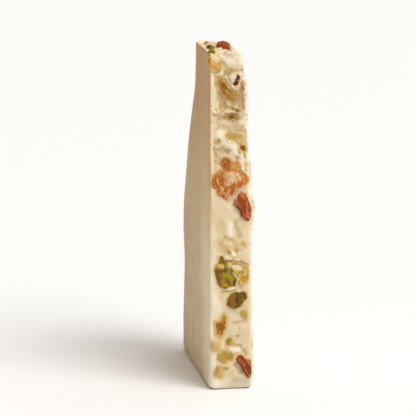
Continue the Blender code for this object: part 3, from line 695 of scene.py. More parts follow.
# Where the cut face has another colour: real stains, painted shade in its grooves and under ledges, and
# painted highlights on its ridges and rims. The line, its width, the colour and how strong it is
CUT_STAINS_AND_PAINTED_LIGHT = (
    (-0.6, 102.8, 3.0, 102.4, 1.6, PALE, 0.8), (-3.6, 104.0, 0.0, 104.0, 0.6, PINKISH, 0.5),
    (-2.3, 101.2, -1.8, 100.4, 0.8, BEIGE, 0.6), (-0.4, 100.6, 3.0, 100.4, 0.7, BUTTER, 0.8),
    (-1.8, 98.8, -0.8, 99.6, 0.7, BEIGE, 0.8), (-0.8, 99.5, 3.2, 99.3, 0.6, BEIGE, 0.9),
    (-5.9, 98.9, -3.4, 98.8, 0.8, PALE, 0.9), (-5.6, 97.4, -5.4, 88.0, 0.9, PALE, 0.6),
    (-3.8, 96.6, -1.8, 93.6, 1.3, (176, 132, 58), 0.7), (-0.8, 92.4, 1.6, 91.4, 1.3, (184, 140, 78), 0.8),
    (-3.4, 91.0, 2.6, 90.2, 1.6, (196, 162, 114), 0.7), (-2.6, 88.4, 2.4, 88.0, 0.9, (206, 174, 124), 0.6),
    (-1.6, 97.4, 0.5, 94.4, 0.35, PALE, 0.9), (1.6, 94.0, 2.8, 95.0, 0.6, PINKISH, 0.9),
    (2.6, 99.0, 4.2, 96.0, 0.6, PINKISH, 0.7), (3.6, 91.6, 3.8, 88.6, 0.6, (206, 172, 150), 0.7),
    (3.3, 89.0, 3.8, 87.6, 0.4, ROSE, 0.4), (4.2, 96.0, 4.4, 84.0, 0.5, PALE, 0.7),
    (-2.4, 88.3, 0.3, 87.9, 0.4, OLIVE, 0.7), (0.3, 87.9, 2.0, 87.3, 0.4, OLIVE, 0.5),
    (-5.6, 86.2, -4.8, 86.0, 0.5, OLIVE, 0.4), (-3.6, 84.9, -2.5, 84.8, 0.6, GREY, 0.7),
    (-0.9, 85.4, 1.0, 85.6, 1.3, (168, 122, 56), 0.9), (1.4, 87.0, 2.0, 86.8, 0.8, (186, 144, 80), 0.7),
    (1.4, 84.8, 2.2, 85.0, 0.7, OLIVE, 0.6), (0.2, 84.0, 0.6, 83.8, 0.6, OLIVE, 0.4),
    (-5.2, 84.6, -5.0, 82.4, 0.8, PINKISH, 0.6), (-3.0, 82.8, 2.4, 82.6, 0.8, (220, 198, 162), 0.6),
    (2.0, 81.2, 4.0, 81.0, 0.6, OLIVE, 0.35), (-1.4, 81.6, 1.6, 81.2, 0.6, BEIGE, 0.4),
    (-3.7, 78.4, -3.6, 78.4, 0.6, OLIVE, 0.6), (-3.4, 80.0, -0.8, 77.8, 1.4, GLEAM, 0.8),
    (-0.8, 77.6, 2.4, 74.8, 1.4, GLEAM, 0.9), (2.4, 77.2, 3.9, 75.0, 0.5, (160, 104, 40), 0.8),
    (-4.2, 75.2, -2.2, 75.2, 0.5, GREY, 0.9), (-5.5, 75.6, -4.9, 73.8, 0.6, BEIGE, 0.5),
    (-4.2, 72.6, -2.6, 73.2, 0.8, BEIGE, 0.4), (-3.9, 72.9, -3.6, 72.4, 0.5, OLIVE, 0.4),
    (2.2, 74.5, 2.3, 74.4, 0.5, OLIVE, 0.5), (1.8, 73.0, 1.9, 72.2, 0.6, OLIVE, 0.4),
    (3.9, 74.0, 3.9, 73.0, 0.4, GREY, 0.7), (4.5, 70.8, 4.5, 70.4, 0.5, TAN, 0.7),
    (4.5, 69.0, 4.5, 68.6, 0.6, OLIVE, 0.35), (2.9, 73.6, 2.9, 69.4, 0.6, PALE, 0.8),
    (5.4, 73.0, 5.5, 58.0, 0.7, PALE, 0.8), (3.2, 68.6, 4.4, 67.6, 0.5, PINKISH, 0.7),
    (-1.6, 63.6, -1.2, 66.2, 0.5, PINKISH, 0.8), (0.8, 63.0, 2.2, 62.8, 0.6, (214, 202, 188), 0.9),
    (-4.0, 61.0, -3.0, 59.6, 0.9, PINKISH, 0.5), (-6.0, 56.0, -3.0, 50.0, 1.6, (214, 190, 150), 0.6),
    (1.4, 52.0, 2.6, 48.8, 0.9, BEIGE, 0.5), (-0.6, 52.4, -0.4, 49.0, 1.1, PALE, 0.7),
    (-3.2, 46.4, -2.0, 48.2, 0.6, BEIGE, 0.6), (-2.0, 48.2, 0.0, 47.4, 0.5, BEIGE, 0.5),
    (-1.8, 46.4, 0.0, 46.2, 0.9, PALE, 0.7), (0.6, 46.6, 1.6, 44.2, 0.6, BEIGE, 0.6),
    (3.4, 46.2, 4.0, 45.6, 0.8, (214, 180, 100), 0.8), (1.4, 44.4, 1.7, 43.8, 0.6, TAN, 0.6),
    (-0.9, 43.9, -0.3, 43.3, 0.45, (196, 134, 56), 0.8), (0.2, 43.0, 1.0, 42.7, 0.6, PALE, 0.8),
    (-3.2, 45.6, -2.8, 45.2, 0.5, OLIVE, 0.4), (-2.0, 40.7, -0.4, 40.4, 0.4, DARK_OLIVE, 0.7),
    (-0.4, 40.4, 3.0, 40.1, 0.35, (160, 132, 60), 0.7), (3.0, 40.1, 5.2, 39.2, 0.4, (186, 128, 48), 0.7),
    (5.0, 38.8, 5.4, 34.0, 0.5, (222, 182, 110), 0.6), (-1.8, 32.3, 0.8, 32.2, 0.5, PALE, 0.9),
    (-3.4, 31.2, -1.8, 30.6, 0.6, TAN, 0.5), (-0.6, 31.4, 0.8, 31.4, 0.4, DARK_OLIVE, 0.5),
    (-5.2, 30.0, -3.6, 25.0, 1.4, PALE, 0.5), (-1.4, 25.4, 1.8, 25.0, 1.0, (206, 186, 152), 0.6),
    (2.6, 26.2, 4.2, 26.0, 0.6, (212, 190, 152), 0.6), (2.0, 17.1, 2.2, 17.0, 0.55, OLIVE, 0.8),
    (-2.0, 15.4, -1.6, 14.6, 0.5, OLIVE, 0.35), (0.2, 14.3, 2.4, 14.1, 0.5, BEIGE, 0.7),
    (2.8, 13.3, 4.4, 11.6, 0.6, BEIGE, 0.6), (0.0, 12.6, 2.4, 12.6, 0.7, PALE, 0.8),
    (-5.7, 15.6, -5.3, 12.4, 0.7, TAN, 0.35), (1.6, 7.8, 2.6, 6.0, 0.9, (206, 192, 160), 0.7),
    (-2.2, 5.0, 0.0, 4.8, 0.8, (212, 194, 146), 0.5), (1.6, 2.8, 4.2, 2.4, 1.2, (198, 182, 148), 0.5),
    (-5.2, 2.0, -1.4, 2.6, 1.2, PALE, 0.7), (-3.0, 46.6, 1.4, 45.4, 2.0, (214, 182, 122), 0.45),
    (-2.6, 83.0, 2.6, 82.4, 1.2, (214, 188, 146), 0.7), (3.4, 92.4, 3.7, 87.8, 0.5, (184, 136, 110), 0.75),
    (-0.6, 17.4, 4.0, 17.2, 2.2, (212, 192, 152), 0.6), (-4.2, 12.5, -2.0, 12.6, 0.4, (196, 128, 44), 0.8),
)
ARRIS_TOP, ARRIS_FADE = 68.0, 40.0  # where the painted highlight on the left edge ends, and how far below it fades
ARRIS_RADIUS = ((0, 2.2), (12, 1.9), (40, 1.5), (62, 1.2), (75, 0.7), (106, 0.5))  # how round that edge is
FOOT_RADIUS = 1.6  # how round the edges of the foot are
NEAR_SKIN = 1.15  # relief is worked out this near to the plain surface
LEAST_CREEP = 0.04  # the chocolate runs at least this far over a filling's edge
CUT_WAVE, WHOLE_WAVE = 1.3, 2.4  # how long its edge's waves are round a cut filling and round others
SEAT_DEPTH = 0.9  # the chocolate is cut away this deep for a nut that shows
COVER = 2.2  # how far it runs over the nuts of the lumpy side, where it covers them
FILM, FILM_REACH = 0.34, 0.9  # how thick it lies on the others there, and how far from their outlines
BULGE_SOFTNESS = 0.8  # bulges and hollows are what this much blur takes away, in square millimetres


class Chocolate:
    """The slab, with the gaps round its fillings closed."""

    def __init__(self, fillings):
        self.lattice = lattice = Lattice(BOX_LOW - BODY_MARGIN, BOX_HIGH + BODY_MARGIN, BODY_PITCH)
        self.fillings = fillings
        joined = self.joined()
        close = lattice.closed(joined, GAP_CLOSED)
        self.slopes = self.slopes_of(close)
        lumpy = ease(self.slopes[0], 0.35, 0.7)
        self.plain = close + (lattice.closed(joined, DRIP_ROUNDING) - close) * lumpy

    def joined(self):
        """All solids in one."""
        field = np.full(self.lattice.shape, REACH, np.float32)
        for name in frame["nodes"]:
            points, triangles = solid(name)
            part = Lattice(points.min(axis=0) - REACH, points.max(axis=0) + REACH, self.lattice.pitch)
            near = part.distance(points, triangles)
            low = np.maximum(part.first, self.lattice.first)
            high = np.minimum(part.first + part.shape, self.lattice.first + self.lattice.shape)
            ours = tuple(slice(a, b) for a, b in zip(low - self.lattice.first, high - self.lattice.first))
            theirs = tuple(slice(a, b) for a, b in zip(low - part.first, high - part.first))
            field[ours] = np.minimum(field[ours], near[theirs])
        return field

    def slopes_of(self, field):
        """The direction that the surface faces, as three fields."""
        slopes = np.gradient(blur(field, 2))
        length = np.sqrt(sum(s * s for s in slopes)) + 1e-6
        return [(s / length).astype(np.float32) for s in slopes]

    def shares(self, place):
        """How far each place belongs to the cut face, the broken edges, the cast side and the lumpy side."""
        x, y, z = (self.lattice.sample(slope, place, 0.0) for slope in self.slopes)
        cut = ease(-y, 0.45, 0.8)
        broken = np.maximum(ease(y, 0.3, 0.6), ease(z, 0.4, 0.7))
        cast = ease(-x, 0.5, 0.85)
        lumpy = ease(x, 0.35, 0.7)
        return cut, broken, cast, lumpy

    @staticmethod
    def cut_hollow(place):
        """How deep the cut face is hollowed, in millimetres."""
        across, up = on_face(place)
        wander = 0.22 * noise(place, 1.3, 21, 2)
        drawn = sum(height * stroke(across + wander, up - wander, *line) for *line, height in CUT_STROKES)
        rough = profile(CUT_ROUGHNESS, up) * ease(place[:, 0], SLAB_LOW[0] + 0.4, SLAB_LOW[0] + 1.6)
        warped = place + 0.5 * np.column_stack([noise(place, 1.6, seed, 2) for seed in (22, 23, 24)])
        lumps = 0.36 * noise(warped, 3.0, 1, 3) - 0.26 * crumbs(warped, 1.7, 5)
        chips = 0.35 * ease(noise(place, 1.9, 3, 2), 0.4, 0.8)
        return 0.44 + 0.07 * noise(place, 3.4, 4, 3) + rough * (0.16 + lumps + chips) - drawn

    @staticmethod
    def edge_hollow(place):
        """How far the left edge of the cut face and the edges of the foot are rounded off."""
        radius = profile(ARRIS_RADIUS, place[:, 2])
        left = radius - (place[:, 0] - SLAB_LOW[0])
        front = radius - (place[:, 1] - CUT_Y - 0.4)
        foot = (FOOT_RADIUS - place[:, 2]) * radius / FOOT_RADIUS
        into = np.maximum(np.column_stack([left, front, foot]), 0.0)
        return np.linalg.norm(into, axis=1) - into.max(axis=1)

    @staticmethod
    def broken_hollow(place):
        """The same for the broken edges."""
        warped = place + 0.6 * np.column_stack([noise(place, 1.8, seed, 2) for seed in (61, 62, 63)])
        chips = 0.3 * ease(noise(place, 1.6, 7, 2), 0.4, 0.9)
        return 0.36 + 0.3 * noise(place, 4.0, 6, 3) - 0.36 * crumbs(warped, 2.4, 65) + chips

    @staticmethod
    def cast_hollow(place):
        """The same for the smooth side: faint ripples, and a few pinholes that air left."""
        pinholes = 0.25 * ease(noise(place, 1.1, 31, 1), 0.92, 0.99)
        ripples = 0.04 + 0.035 * noise(place, (9.0, 16.0, 22.0), 8, 2)
        return ripples + 0.015 * noise(place, (2.0, 5.0, 2.6), 9, 2) + pinholes

    @staticmethod
    def lumpy_hollow(place):
        """The same for the lumpy side: drips and ridges that set as the chocolate ran off."""
        drips = 1.0 - ease(np.abs(noise(place, (5.0, 4.2, 13.0), 10, 2)), 0.0, 0.3)
        pits = 0.3 * ease(noise(place, 1.8, 12, 2), 0.6, 0.9)
        return 0.26 - 0.26 * drips + 0.28 * noise(place, (6.0, 5.0, 7.0), 11, 3) + pits

    def hollow(self, place, shares):
        """How far the chocolate is hollowed at each place, in millimetres."""
        total = np.zeros(len(place))
        rules = (self.cut_hollow, self.broken_hollow, self.cast_hollow, self.lumpy_hollow)
        for share, rule in zip(shares, rules):
            here = share > 0.01
            total[here] += share[here] * rule(place[here])
        return total

    def surface(self):
        """Distances to the chocolate that shows, with a seat for every nut and fruit."""
        body = self.plain.copy()
        near = np.abs(self.plain) < NEAR_SKIN
        place, plain = self.lattice.points(near), self.plain[near]
        shares = self.shares(place)
        lumpy = shares[3]
        value = plain + self.hollow(place, shares) + self.edge_hollow(place)
        for filling in self.fillings:
            part = filling.lattice.holds(place)
            here = place[part]
            inside = filling.lattice.sample(filling.whole, here)
            wave = noise(here, CUT_WAVE if filling.front else WHOLE_WAVE, filling.seed + 20, 2)
            edge = np.maximum(filling.notes.creep * (0.45 + 0.55 * wave), LEAST_CREEP)
            covered = lumpy[part] * ease(noise(here, 4.5, filling.seed + 22, 2), -0.5, -0.1)
            film = FILM * lumpy[part] * np.exp(-np.square(np.maximum(0.0, inside) / FILM_REACH))
            seat = np.maximum(inside + edge + COVER * covered, -(plain[part] + SEAT_DEPTH))
            value[part] = np.maximum(value[part] - film, -seat)
        body[near] = value
        self.body = body
        self.soft = self.lattice.softened(body, BULGE_SOFTNESS)
        return body

    def cream_and_painted_light(self, points, shares):
        """The chocolate's cream with random tones, painted shade in its hollows and deep places, painted
        highlights on its bulges, and broken faces that are paler, partly as painted light.
        """
        cut, broken, cast, _ = shares
        rough = np.maximum(cut * profile(CUT_ROUGHNESS, points[:, 2]), broken)
        bulge = self.lattice.sample(self.soft, points, 0.0)
        depth = -self.lattice.sample(self.plain, points, 0.0)
        layers = (
            (BUTTER, ease(noise(points, 6.0, 41, 3), -0.5, 0.8) * 0.8),
            # paler broken faces: partly their own colour, partly painted light
            (PALE, broken * 0.5),
            (BEIGE, rough * ease(noise(points, 2.6, 43, 3), -0.1, 0.7) * 0.7),
            # painted shade in hollows, then painted highlights on bulges
            (SHADE, ease(bulge, -0.02, -0.25) * (1.0 - cast) * 0.7),
            (PALE, ease(bulge, 0.03, 0.2) * (1.0 - cast) * 0.7),
            # painted shade where the surface lies deep behind the plain one
            (SHADE, ease(depth, 0.75, 1.3) * np.maximum(cut, broken) * 0.4),
        )
        return painted(all_over(CREAM, points), layers)

    def with_cast_side(self, colour, points, cast):
        """The same with the smooth side: painted shade that deepens towards the top, with darker streaks and
        blots, and painted light near the cut face and at the foot.
        """
        up = points[:, 2]
        # how far up the painted shade of the top reaches
        high = ease(up + 5.0 * noise(points, 30.0, 46, 2), 35.0, 100.0)
        behind = points[:, 1] - CUT_Y + 3.0 * noise(points, (9.0, 9.0, 26.0), 48, 3)
        # painted light: a band along the cut face, and a lift low down against the shade of the floor
        painted_light = np.maximum(ease(behind, 24.0, 7.0) * (1.0 - 0.85 * high), 0.6 * ease(up, 34.0, 6.0))
        streaks = ease(noise(points, (9.0, 20.0, 44.0), 47, 2), 0.0, 1.2)
        blots = ease(noise(points, (7.0, 15.0, 8.0), 44, 3), 0.3, 1.1)
        bloom = ease(noise(points, (1.8, 4.0, 2.8), 52, 3), -0.3, 1.1)
        bloom = bloom * ease(behind, 6.0, 24.0) * (1.0 - high)
        layers = (
            (CAST, cast),
            (CAST_PAINTED_LIGHT, cast * painted_light),
            (CAST_SHADE_AND_MOTTLE, cast * (0.66 * high + 0.25 * streaks + 0.14 * blots)),
            (CAST_BLOOM, cast * 0.5 * bloom),
        )
        return painted(colour, layers)

    def with_stains_and_painted_light(self, colour, points, cut, wander):
        """The same with the cut face's stains, its painted shade in grooves and painted highlights on ridges,
        a painted highlight along its left edge, and a greyer tint at its foot.
        """
        across, up = on_face(points)
        for *line, stain, strength in CUT_STAINS_AND_PAINTED_LIGHT:
            near = stroke(across + wander, up - wander, *line)
            colour = blend(colour, stain, cut * strength * ease(near, 0.1, 0.8))
        away = np.maximum(points[:, 0] - SLAB_LOW[0], 0.8 * (points[:, 1] - CUT_Y))
        # a painted highlight along the rounded left edge
        arris_highlight = np.exp(-np.square(away / (1.4 + 1.2 * ease(up, 30.0, 8.0))))
        arris_highlight = arris_highlight * ease(up, ARRIS_TOP, ARRIS_TOP - ARRIS_FADE)
        foot = cut * ease(up, 5.0, 1.0) * ease(across, -5.0, 0.0)
        return painted(colour, ((GLEAM, arris_highlight * 0.95), (FOOT_TINT, foot * 0.6)))

    def colours(self, points, shares):
        """Screen colours at the chocolate's points."""
        cut, _, cast, _ = shares
        wander = 0.30 * noise(points, 1.0, 45, 2)
        colour = self.with_cast_side(self.cream_and_painted_light(points, shares), points, cast)
        colour = self.with_stains_and_painted_light(colour, points, cut, wander)
        for filling in self.fillings:
            part = filling.lattice.holds(points)
            inside = filling.lattice.sample(filling.whole, points[part])
            share, reach = filling.look.bleed
            near = ease(inside + 0.5 * wander[part], reach, 0.0)
            stain = 0.7 * np.array(filling.look.light, float) + 0.3 * np.array(BUTTER)
            colour[part] = blend(colour[part], stain, share * near)
        return colour

    def add(self):
        """The chocolate that shows, in place of its solid."""
        points, triangles, quads = self.lattice.skin(self.surface())
        piece = add_piece("chocolate", np.clip(points, BOX_LOW, BOX_HIGH), triangles[:, ::-1], quads[:, ::-1])
        self.thin(piece)
        points = np.clip(points_of(piece), BOX_LOW, BOX_HIGH)
        piece.data.vertices.foreach_set("co", (points * MM).astype(np.float32).ravel())
        cut, broken, cast, lumpy = shares = self.shares(points)
        add_tint(piece, self.colours(points, shares))
        rough = cut * (0.2 + 0.8 * profile(CUT_ROUGHNESS, points[:, 2]))
        add_layer(piece, "rough", np.maximum(rough, broken))
        add_layer(piece, "dull", 0.46 - 0.22 * lumpy)
        add_layer(piece, "sheen", 0.42 - 0.32 * cast + 0.1 * lumpy)
        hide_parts("white_chocolate")
        return piece

    def thin(self, piece):
        """Fewer faces where the surface is even."""
        count = sum(len(p.vertices) - 2 for p in piece.data.polygons)
        if count > BODY_FACES:
            fewer = piece.modifiers.new("Fewer faces", "DECIMATE")
            fewer.ratio = BODY_FACES / count
            view = bpy.context.evaluated_depsgraph_get()
            mesh = bpy.data.meshes.new_from_object(piece.evaluated_get(view))
            piece.modifiers.clear()
            piece.data = mesh
            piece.data.shade_smooth()


# ---------------------------------------------------------------- crumbs and sugar

# Specks of nut in the cut face: (across, up), radius and colour
SPECKS = (
    (-0.1, 85.4, 0.8, (146, 86, 10)), (0.7, 85.1, 0.5, (160, 104, 30)), (1.8, 87.1, 0.52, (158, 112, 24)),
    (1.9, 84.9, 0.5, (186, 146, 54)), (0.3, 84.1, 0.3, (168, 140, 60)), (-0.5, 43.6, 0.4, (204, 144, 62)),
    (2.1, 17.1, 0.42, (176, 158, 76)), (-3.7, 78.4, 0.42, (196, 180, 96)), (3.7, 45.9, 0.5, (212, 172, 84)),
    (1.5, 44.1, 0.35, (200, 158, 92)), (3.5, 88.4, 0.4, (176, 104, 78)), (4.4, 69.0, 0.35, (186, 160, 88)),
    (3.6, 93.9, 0.35, (150, 78, 58)), (2.3, 74.4, 0.35, (170, 150, 90)), (-3.6, 61.6, 0.35, (206, 148, 84)),
    (-5.4, 86.1, 0.3, (190, 166, 104)), (-2.0, 46.0, 0.3, (206, 178, 112)),
    (-2.9, 45.5, 0.3, (190, 166, 98)), (4.6, 70.6, 0.35, (206, 164, 100)),
)
STRAY_SPECKS = (26, 46, 9)  # on the lumpy side, the back and the top
CRUMBS = 360
CRUMB_TRIES = 24 * CRUMBS
CRUMB_REACH = 0.5  # crumbs gather this near to the outlines of nuts
CRUMB_DEPTH = 2.2  # and land no further behind the cut face
SUGAR_GRAINS = 90
START_GAP = 0.1  # what is set down starts this far before the cut face
MARCH_STEP = 0.06
MARCH_STEPS = 90


class Surface:
    """Everything that shows, as fields, to set crumbs down on."""

    def __init__(self, chocolate, fillings):
        self.fields = [(chocolate.lattice, chocolate.body)]
        self.fields += [(filling.lattice, filling.shown) for filling in fillings]

    def distance(self, points):
        """How far points are outside everything."""
        return np.min([lattice.sample(field, points) for lattice, field in self.fields], axis=0)

    def land(self, starts, way):
        """Where points that go one way meet the surface, and which of them do."""
        place = np.array(starts, float)
        flying = np.ones(len(place), bool)
        for _ in range(MARCH_STEPS):
            flying[flying] = self.distance(place[flying]) > 0.0
            if not flying.any():
                break
            place[flying] += MARCH_STEP * np.asarray(way)
        return place, ~flying


def pebble():
    """The points and triangles of a round stone of radius 1."""
    ball = bmesh.new()
    bmesh.ops.create_icosphere(ball, subdivisions=2, radius=1.0)
    points = np.array([v.co[:] for v in ball.verts])
    triangles = np.array([[v.index for v in f.verts] for f in ball.faces])
    ball.free()
    return points, triangles


def scatter(name, places, radii, colours, seed, squareness=0.0):
    """One mesh of many small uneven stones."""
    chance = np.random.default_rng(seed)
    stone, triangles = pebble()
    if squareness:
        stone = stone / np.abs(stone).max(axis=1, keepdims=True) ** squareness
    points, tints = [], []
    for index, (place, radius, colour) in enumerate(zip(places, radii, colours)):
        turn, _ = np.linalg.qr(chance.normal(size=(3, 3)))
        turn *= np.sign(np.linalg.det(turn))
        bumps = 1.0 + 0.28 * noise(stone * 1.3 + 7.0 * index, 1.0, seed, 2)[:, None]
        points.append((stone * bumps * chance.uniform(0.65, 1.15, 3)) @ turn * radius + place)
        tints.append(all_over(colour, stone) * chance.uniform(0.93, 1.05))
    points = np.clip(np.concatenate(points), BOX_LOW, BOX_HIGH)
    faces = np.concatenate([triangles + len(stone) * index for index in range(len(places))])
    piece = add_piece(name, points, faces)
    add_tint(piece, np.concatenate(tints))
    add_layer(piece, "grain", points * MM)
    return piece


def front_starts(across, up):
    """Places just before the cut face."""
    before = np.full(len(across), BOX_LOW[1] - START_GAP)
    return np.column_stack([np.asarray(across, float) + MIDDLE, before, np.asarray(up, float)])


def add_specks(surface):
    """Bits of nut: the ones that show in the photograph, and strays on the other sides."""
    chance = np.random.default_rng(11)
    across, up, radii, colours = (list(column) for column in zip(*SPECKS))
    places, _ = surface.land(front_starts(across, up), (0, 1, 0))
    places = list(places + np.array([0.0, 0.35, 0.0]) * np.array(radii)[:, None])
    sides = (
        ((BOX_HIGH[0], None, None), (-1, 0, 0)),
        ((None, BOX_HIGH[1], None), (0, -1, 0)),
        ((None, None, BOX_HIGH[2]), (0, 0, -1)),
    )
    for (fixed, way), count in zip(sides, STRAY_SPECKS):
        starts = chance.uniform(SLAB_LOW + 0.8, SLAB_HIGH - 0.8, (count, 3))
        for axis, value in enumerate(fixed):
            if value is not None:
                starts[:, axis] = value
        landed, hit = surface.land(starts, way)
        size = 0.3 + 0.7 * chance.uniform(0.0, 1.0, count) ** 2
        places += list((landed + 0.45 * size[:, None] * np.array(way))[hit])
        radii += list(size[hit])
        colours += [SPECK_COLOURS[i] for i in chance.integers(0, len(SPECK_COLOURS), hit.sum())]
    return scatter("nut_specks", places, radii, colours, 12)


def add_crumbs(surface, fillings):
    """Crumbs of chocolate on the cut face, most of them where it is rough and along the outlines of nuts."""
    chance = np.random.default_rng(21)
    across = chance.uniform(SLAB_LOW[0] - MIDDLE + 0.5, SLAB_HIGH[0] - MIDDLE - 1.0, CRUMB_TRIES)
    up = chance.uniform(1.0, SLAB_HIGH[2] - 1.0, CRUMB_TRIES)
    starts = front_starts(across, up)
    face = starts + np.array([0.0, 0.6, 0.0])
    outside = np.full(CRUMB_TRIES, REACH)
    for filling in fillings:
        if filling.front:
            outside = np.minimum(outside, filling.lattice.sample(filling.whole, face))
    wanted = 0.35 * profile(CUT_ROUGHNESS, up) ** 2 + 0.25 * ease(outside, CRUMB_REACH, 0.1)
    wanted *= np.where(outside > 0.1, 1.0, 0.02)
    chosen = np.flatnonzero(chance.uniform(0.0, 1.0, CRUMB_TRIES) < wanted)[:CRUMBS]
    places, hit = surface.land(starts[chosen], (0, 1, 0))
    radii = chance.uniform(0.1, 0.32, len(chosen)) * chance.uniform(0.6, 1.0, len(chosen))
    places += 0.2 * radii[:, None] * np.array([0.0, 1.0, 0.0])
    hit &= places[:, 1] < CUT_Y + CRUMB_DEPTH
    shades = np.array([CREAM, BUTTER, BUTTER, BEIGE])[chance.integers(0, 4, len(chosen))]
    return scatter("chocolate_crumbs", places[hit], radii[hit], shades[hit], 22)


def add_sugar(surface, fillings):
    """Grains of sugar on the candied orange of the cut face."""
    chance = np.random.default_rng(31)
    oranges = [filling for filling in fillings if filling.slot == "candied_orange" and filling.front]
    starts = []
    while len(starts) < SUGAR_GRAINS:
        home = oranges[chance.integers(0, len(oranges))]
        spot = chance.uniform(home.lattice.low, home.lattice.high)
        spot[1] = BOX_LOW[1] - START_GAP
        inside = home.lattice.sample(home.whole, np.array([[spot[0], CUT_Y + 0.8, spot[2]]]))[0]
        if inside < 0.25:
            starts.append(spot)
    places, hit = surface.land(starts, (0, 1, 0))
    radii = chance.uniform(0.06, 0.15, len(starts))
    shades = np.array(SUGAR_COLOURS)[chance.integers(0, 3, len(starts))]
    return scatter("sugar_grains", places[hit], radii[hit], shades[hit], 32, squareness=0.6)


# ---------------------------------------------------------------- materials


class Nodes:
    """A tree of nodes under construction: each method adds a node and returns its output."""

    def __init__(self, tree):
        self.nodes, self.links = tree.nodes, tree.links

    def put(self, socket, value):
        """Link an output to a socket, or set the socket's own value."""
        if isinstance(value, bpy.types.NodeSocket):
            self.links.new(value, socket)
        else:
            socket.default_value = value

    def math(self, operation, a, b=0.0, c=0.0):
        """One step of arithmetic."""
        node = self.nodes.new("ShaderNodeMath")
        node.operation = operation
        for socket, value in zip(node.inputs, (a, b, c)):
            self.put(socket, value)
        return node.outputs[0]

    def span(self, value, low, high, to_low=0.0, to_high=1.0):
        """A smooth step from to_low to to_high as the value goes from low to high."""
        node = self.nodes.new("ShaderNodeMapRange")
        node.interpolation_type = "SMOOTHSTEP"
        names = ("Value", "From Min", "From Max", "To Min", "To Max")
        for key, number in zip(names, (value, low, high, to_low, to_high)):
            self.put(node.inputs[key], number)
        return node.outputs["Result"]

    def mix(self, kind, share, first, second):
        """Two colours mixed, or multiplied as far as the share says."""
        node = self.nodes.new("ShaderNodeMix")
        node.data_type = "RGBA"
        node.blend_type = kind
        for socket, value in zip((node.inputs[0], node.inputs[6], node.inputs[7]), (share, first, second)):
            self.put(socket, value)
        return node.outputs[2]


class Shader(Nodes):
    """A material under construction."""

    def __init__(self, name):
        self.material = bpy.data.materials.new(name)
        self.material.use_nodes = True
        super().__init__(self.material.node_tree)
        self.surface = self.nodes["Principled BSDF"]
        self.place = self.nodes.new("ShaderNodeTexCoord").outputs["Object"]

    def set(self, **values):
        """Set or link the surface's sockets by name."""
        for key, value in values.items():
            self.put(self.surface.inputs[key.replace("_", " ")], value)

    def attribute(self, name, output="Fac"):
        """What the mesh holds at each point under this name."""
        node = self.nodes.new("ShaderNodeAttribute")
        node.attribute_name = name
        return node.outputs[output]

    def noise(self, size_mm, detail=2.0, place=None, stretch=(1.0, 1.0, 1.0)):
        """Noise whose lumps are this many millimetres across, times the stretch."""
        scale = self.nodes.new("ShaderNodeVectorMath")
        scale.operation = "MULTIPLY"
        self.put(scale.inputs[0], place or self.place)
        scale.inputs[1].default_value = [1.0 / part for part in stretch]
        node = self.nodes.new("ShaderNodeTexNoise")
        node.inputs["Scale"].default_value = 1.0 / (size_mm * MM)
        node.inputs["Detail"].default_value = detail
        self.links.new(scale.outputs[0], node.inputs["Vector"])
        return node.outputs["Fac"]

    def tinted(self, share, darker):
        """The mesh's own colour, times the darker one as far as the share says."""
        return self.mix("MULTIPLY", share, self.attribute("tint", "Color"), (*darker, 1.0))

    def bump(self, height, depth_mm):
        """Fine relief that is too small for the mesh."""
        node = self.nodes.new("ShaderNodeBump")
        node.inputs["Distance"].default_value = depth_mm * MM
        self.links.new(height, node.inputs["Height"])
        self.links.new(node.outputs["Normal"], self.surface.inputs["Normal"])


FILLING_SHEEN = 0.2


def chocolate_material():
    """Cream chocolate: satin where cast, crumbly where cut, glossy on the lumpy side."""
    s = Shader("chocolate")
    rough = s.attribute("rough")
    fleck = s.span(s.noise(0.45, 3.0), 0.54, 0.68)
    flecks = s.math("MULTIPLY", fleck, s.math("MULTIPLY_ADD", rough, 0.5, 0.05))
    clouds = s.span(s.noise(3.0, 3.0), 0.42, 0.7, 0.0, 0.5)
    s.set(Base_Color=s.mix("MULTIPLY", clouds, s.tinted(flecks, (0.88, 0.80, 0.66)), (0.96, 0.94, 0.90, 1.0)))
    s.set(Roughness=s.attribute("dull"), Specular_IOR_Level=s.attribute("sheen"))
    s.set(Subsurface_Weight=0.2, Subsurface_Scale=0.0011, Subsurface_Radius=(1.0, 0.62, 0.32))
    s.bump(s.math("MULTIPLY", s.noise(0.32, 4.0), s.math("MULTIPLY_ADD", rough, 0.9, 0.1)), 0.11)
    return s.material


def crumb_material():
    """Crumbs of chocolate."""
    s = Shader("crumb")
    s.set(Base_Color=s.tinted(s.span(s.noise(0.3, 3.0), 0.4, 0.7, 0.0, 0.6), (0.9, 0.85, 0.74)))
    s.set(Roughness=0.6, Specular_IOR_Level=0.25, Subsurface_Weight=0.2, Subsurface_Scale=0.0008)
    s.bump(s.noise(0.2, 3.0), 0.05)
    return s.material


def speck_material():
    """Bits of nut."""
    s = Shader("speck")
    s.set(Base_Color=s.tinted(s.span(s.noise(0.25, 3.0), 0.4, 0.7), (0.84, 0.76, 0.6)))
    s.set(Roughness=0.5, Specular_IOR_Level=FILLING_SHEEN)
    s.bump(s.noise(0.2, 3.0), 0.08)
    return s.material


def sugar_material():
    """Clear grains with a little of the fruit's colour."""
    s = Shader("sugar")
    s.set(Base_Color=s.tinted(s.span(s.noise(0.15, 2.0), 0.4, 0.7, 0.0, 0.5), (0.94, 0.84, 0.7)))
    s.set(Roughness=0.35, Specular_IOR_Level=0.4, Subsurface_Weight=0.5, Subsurface_Scale=0.0005)
    return s.material


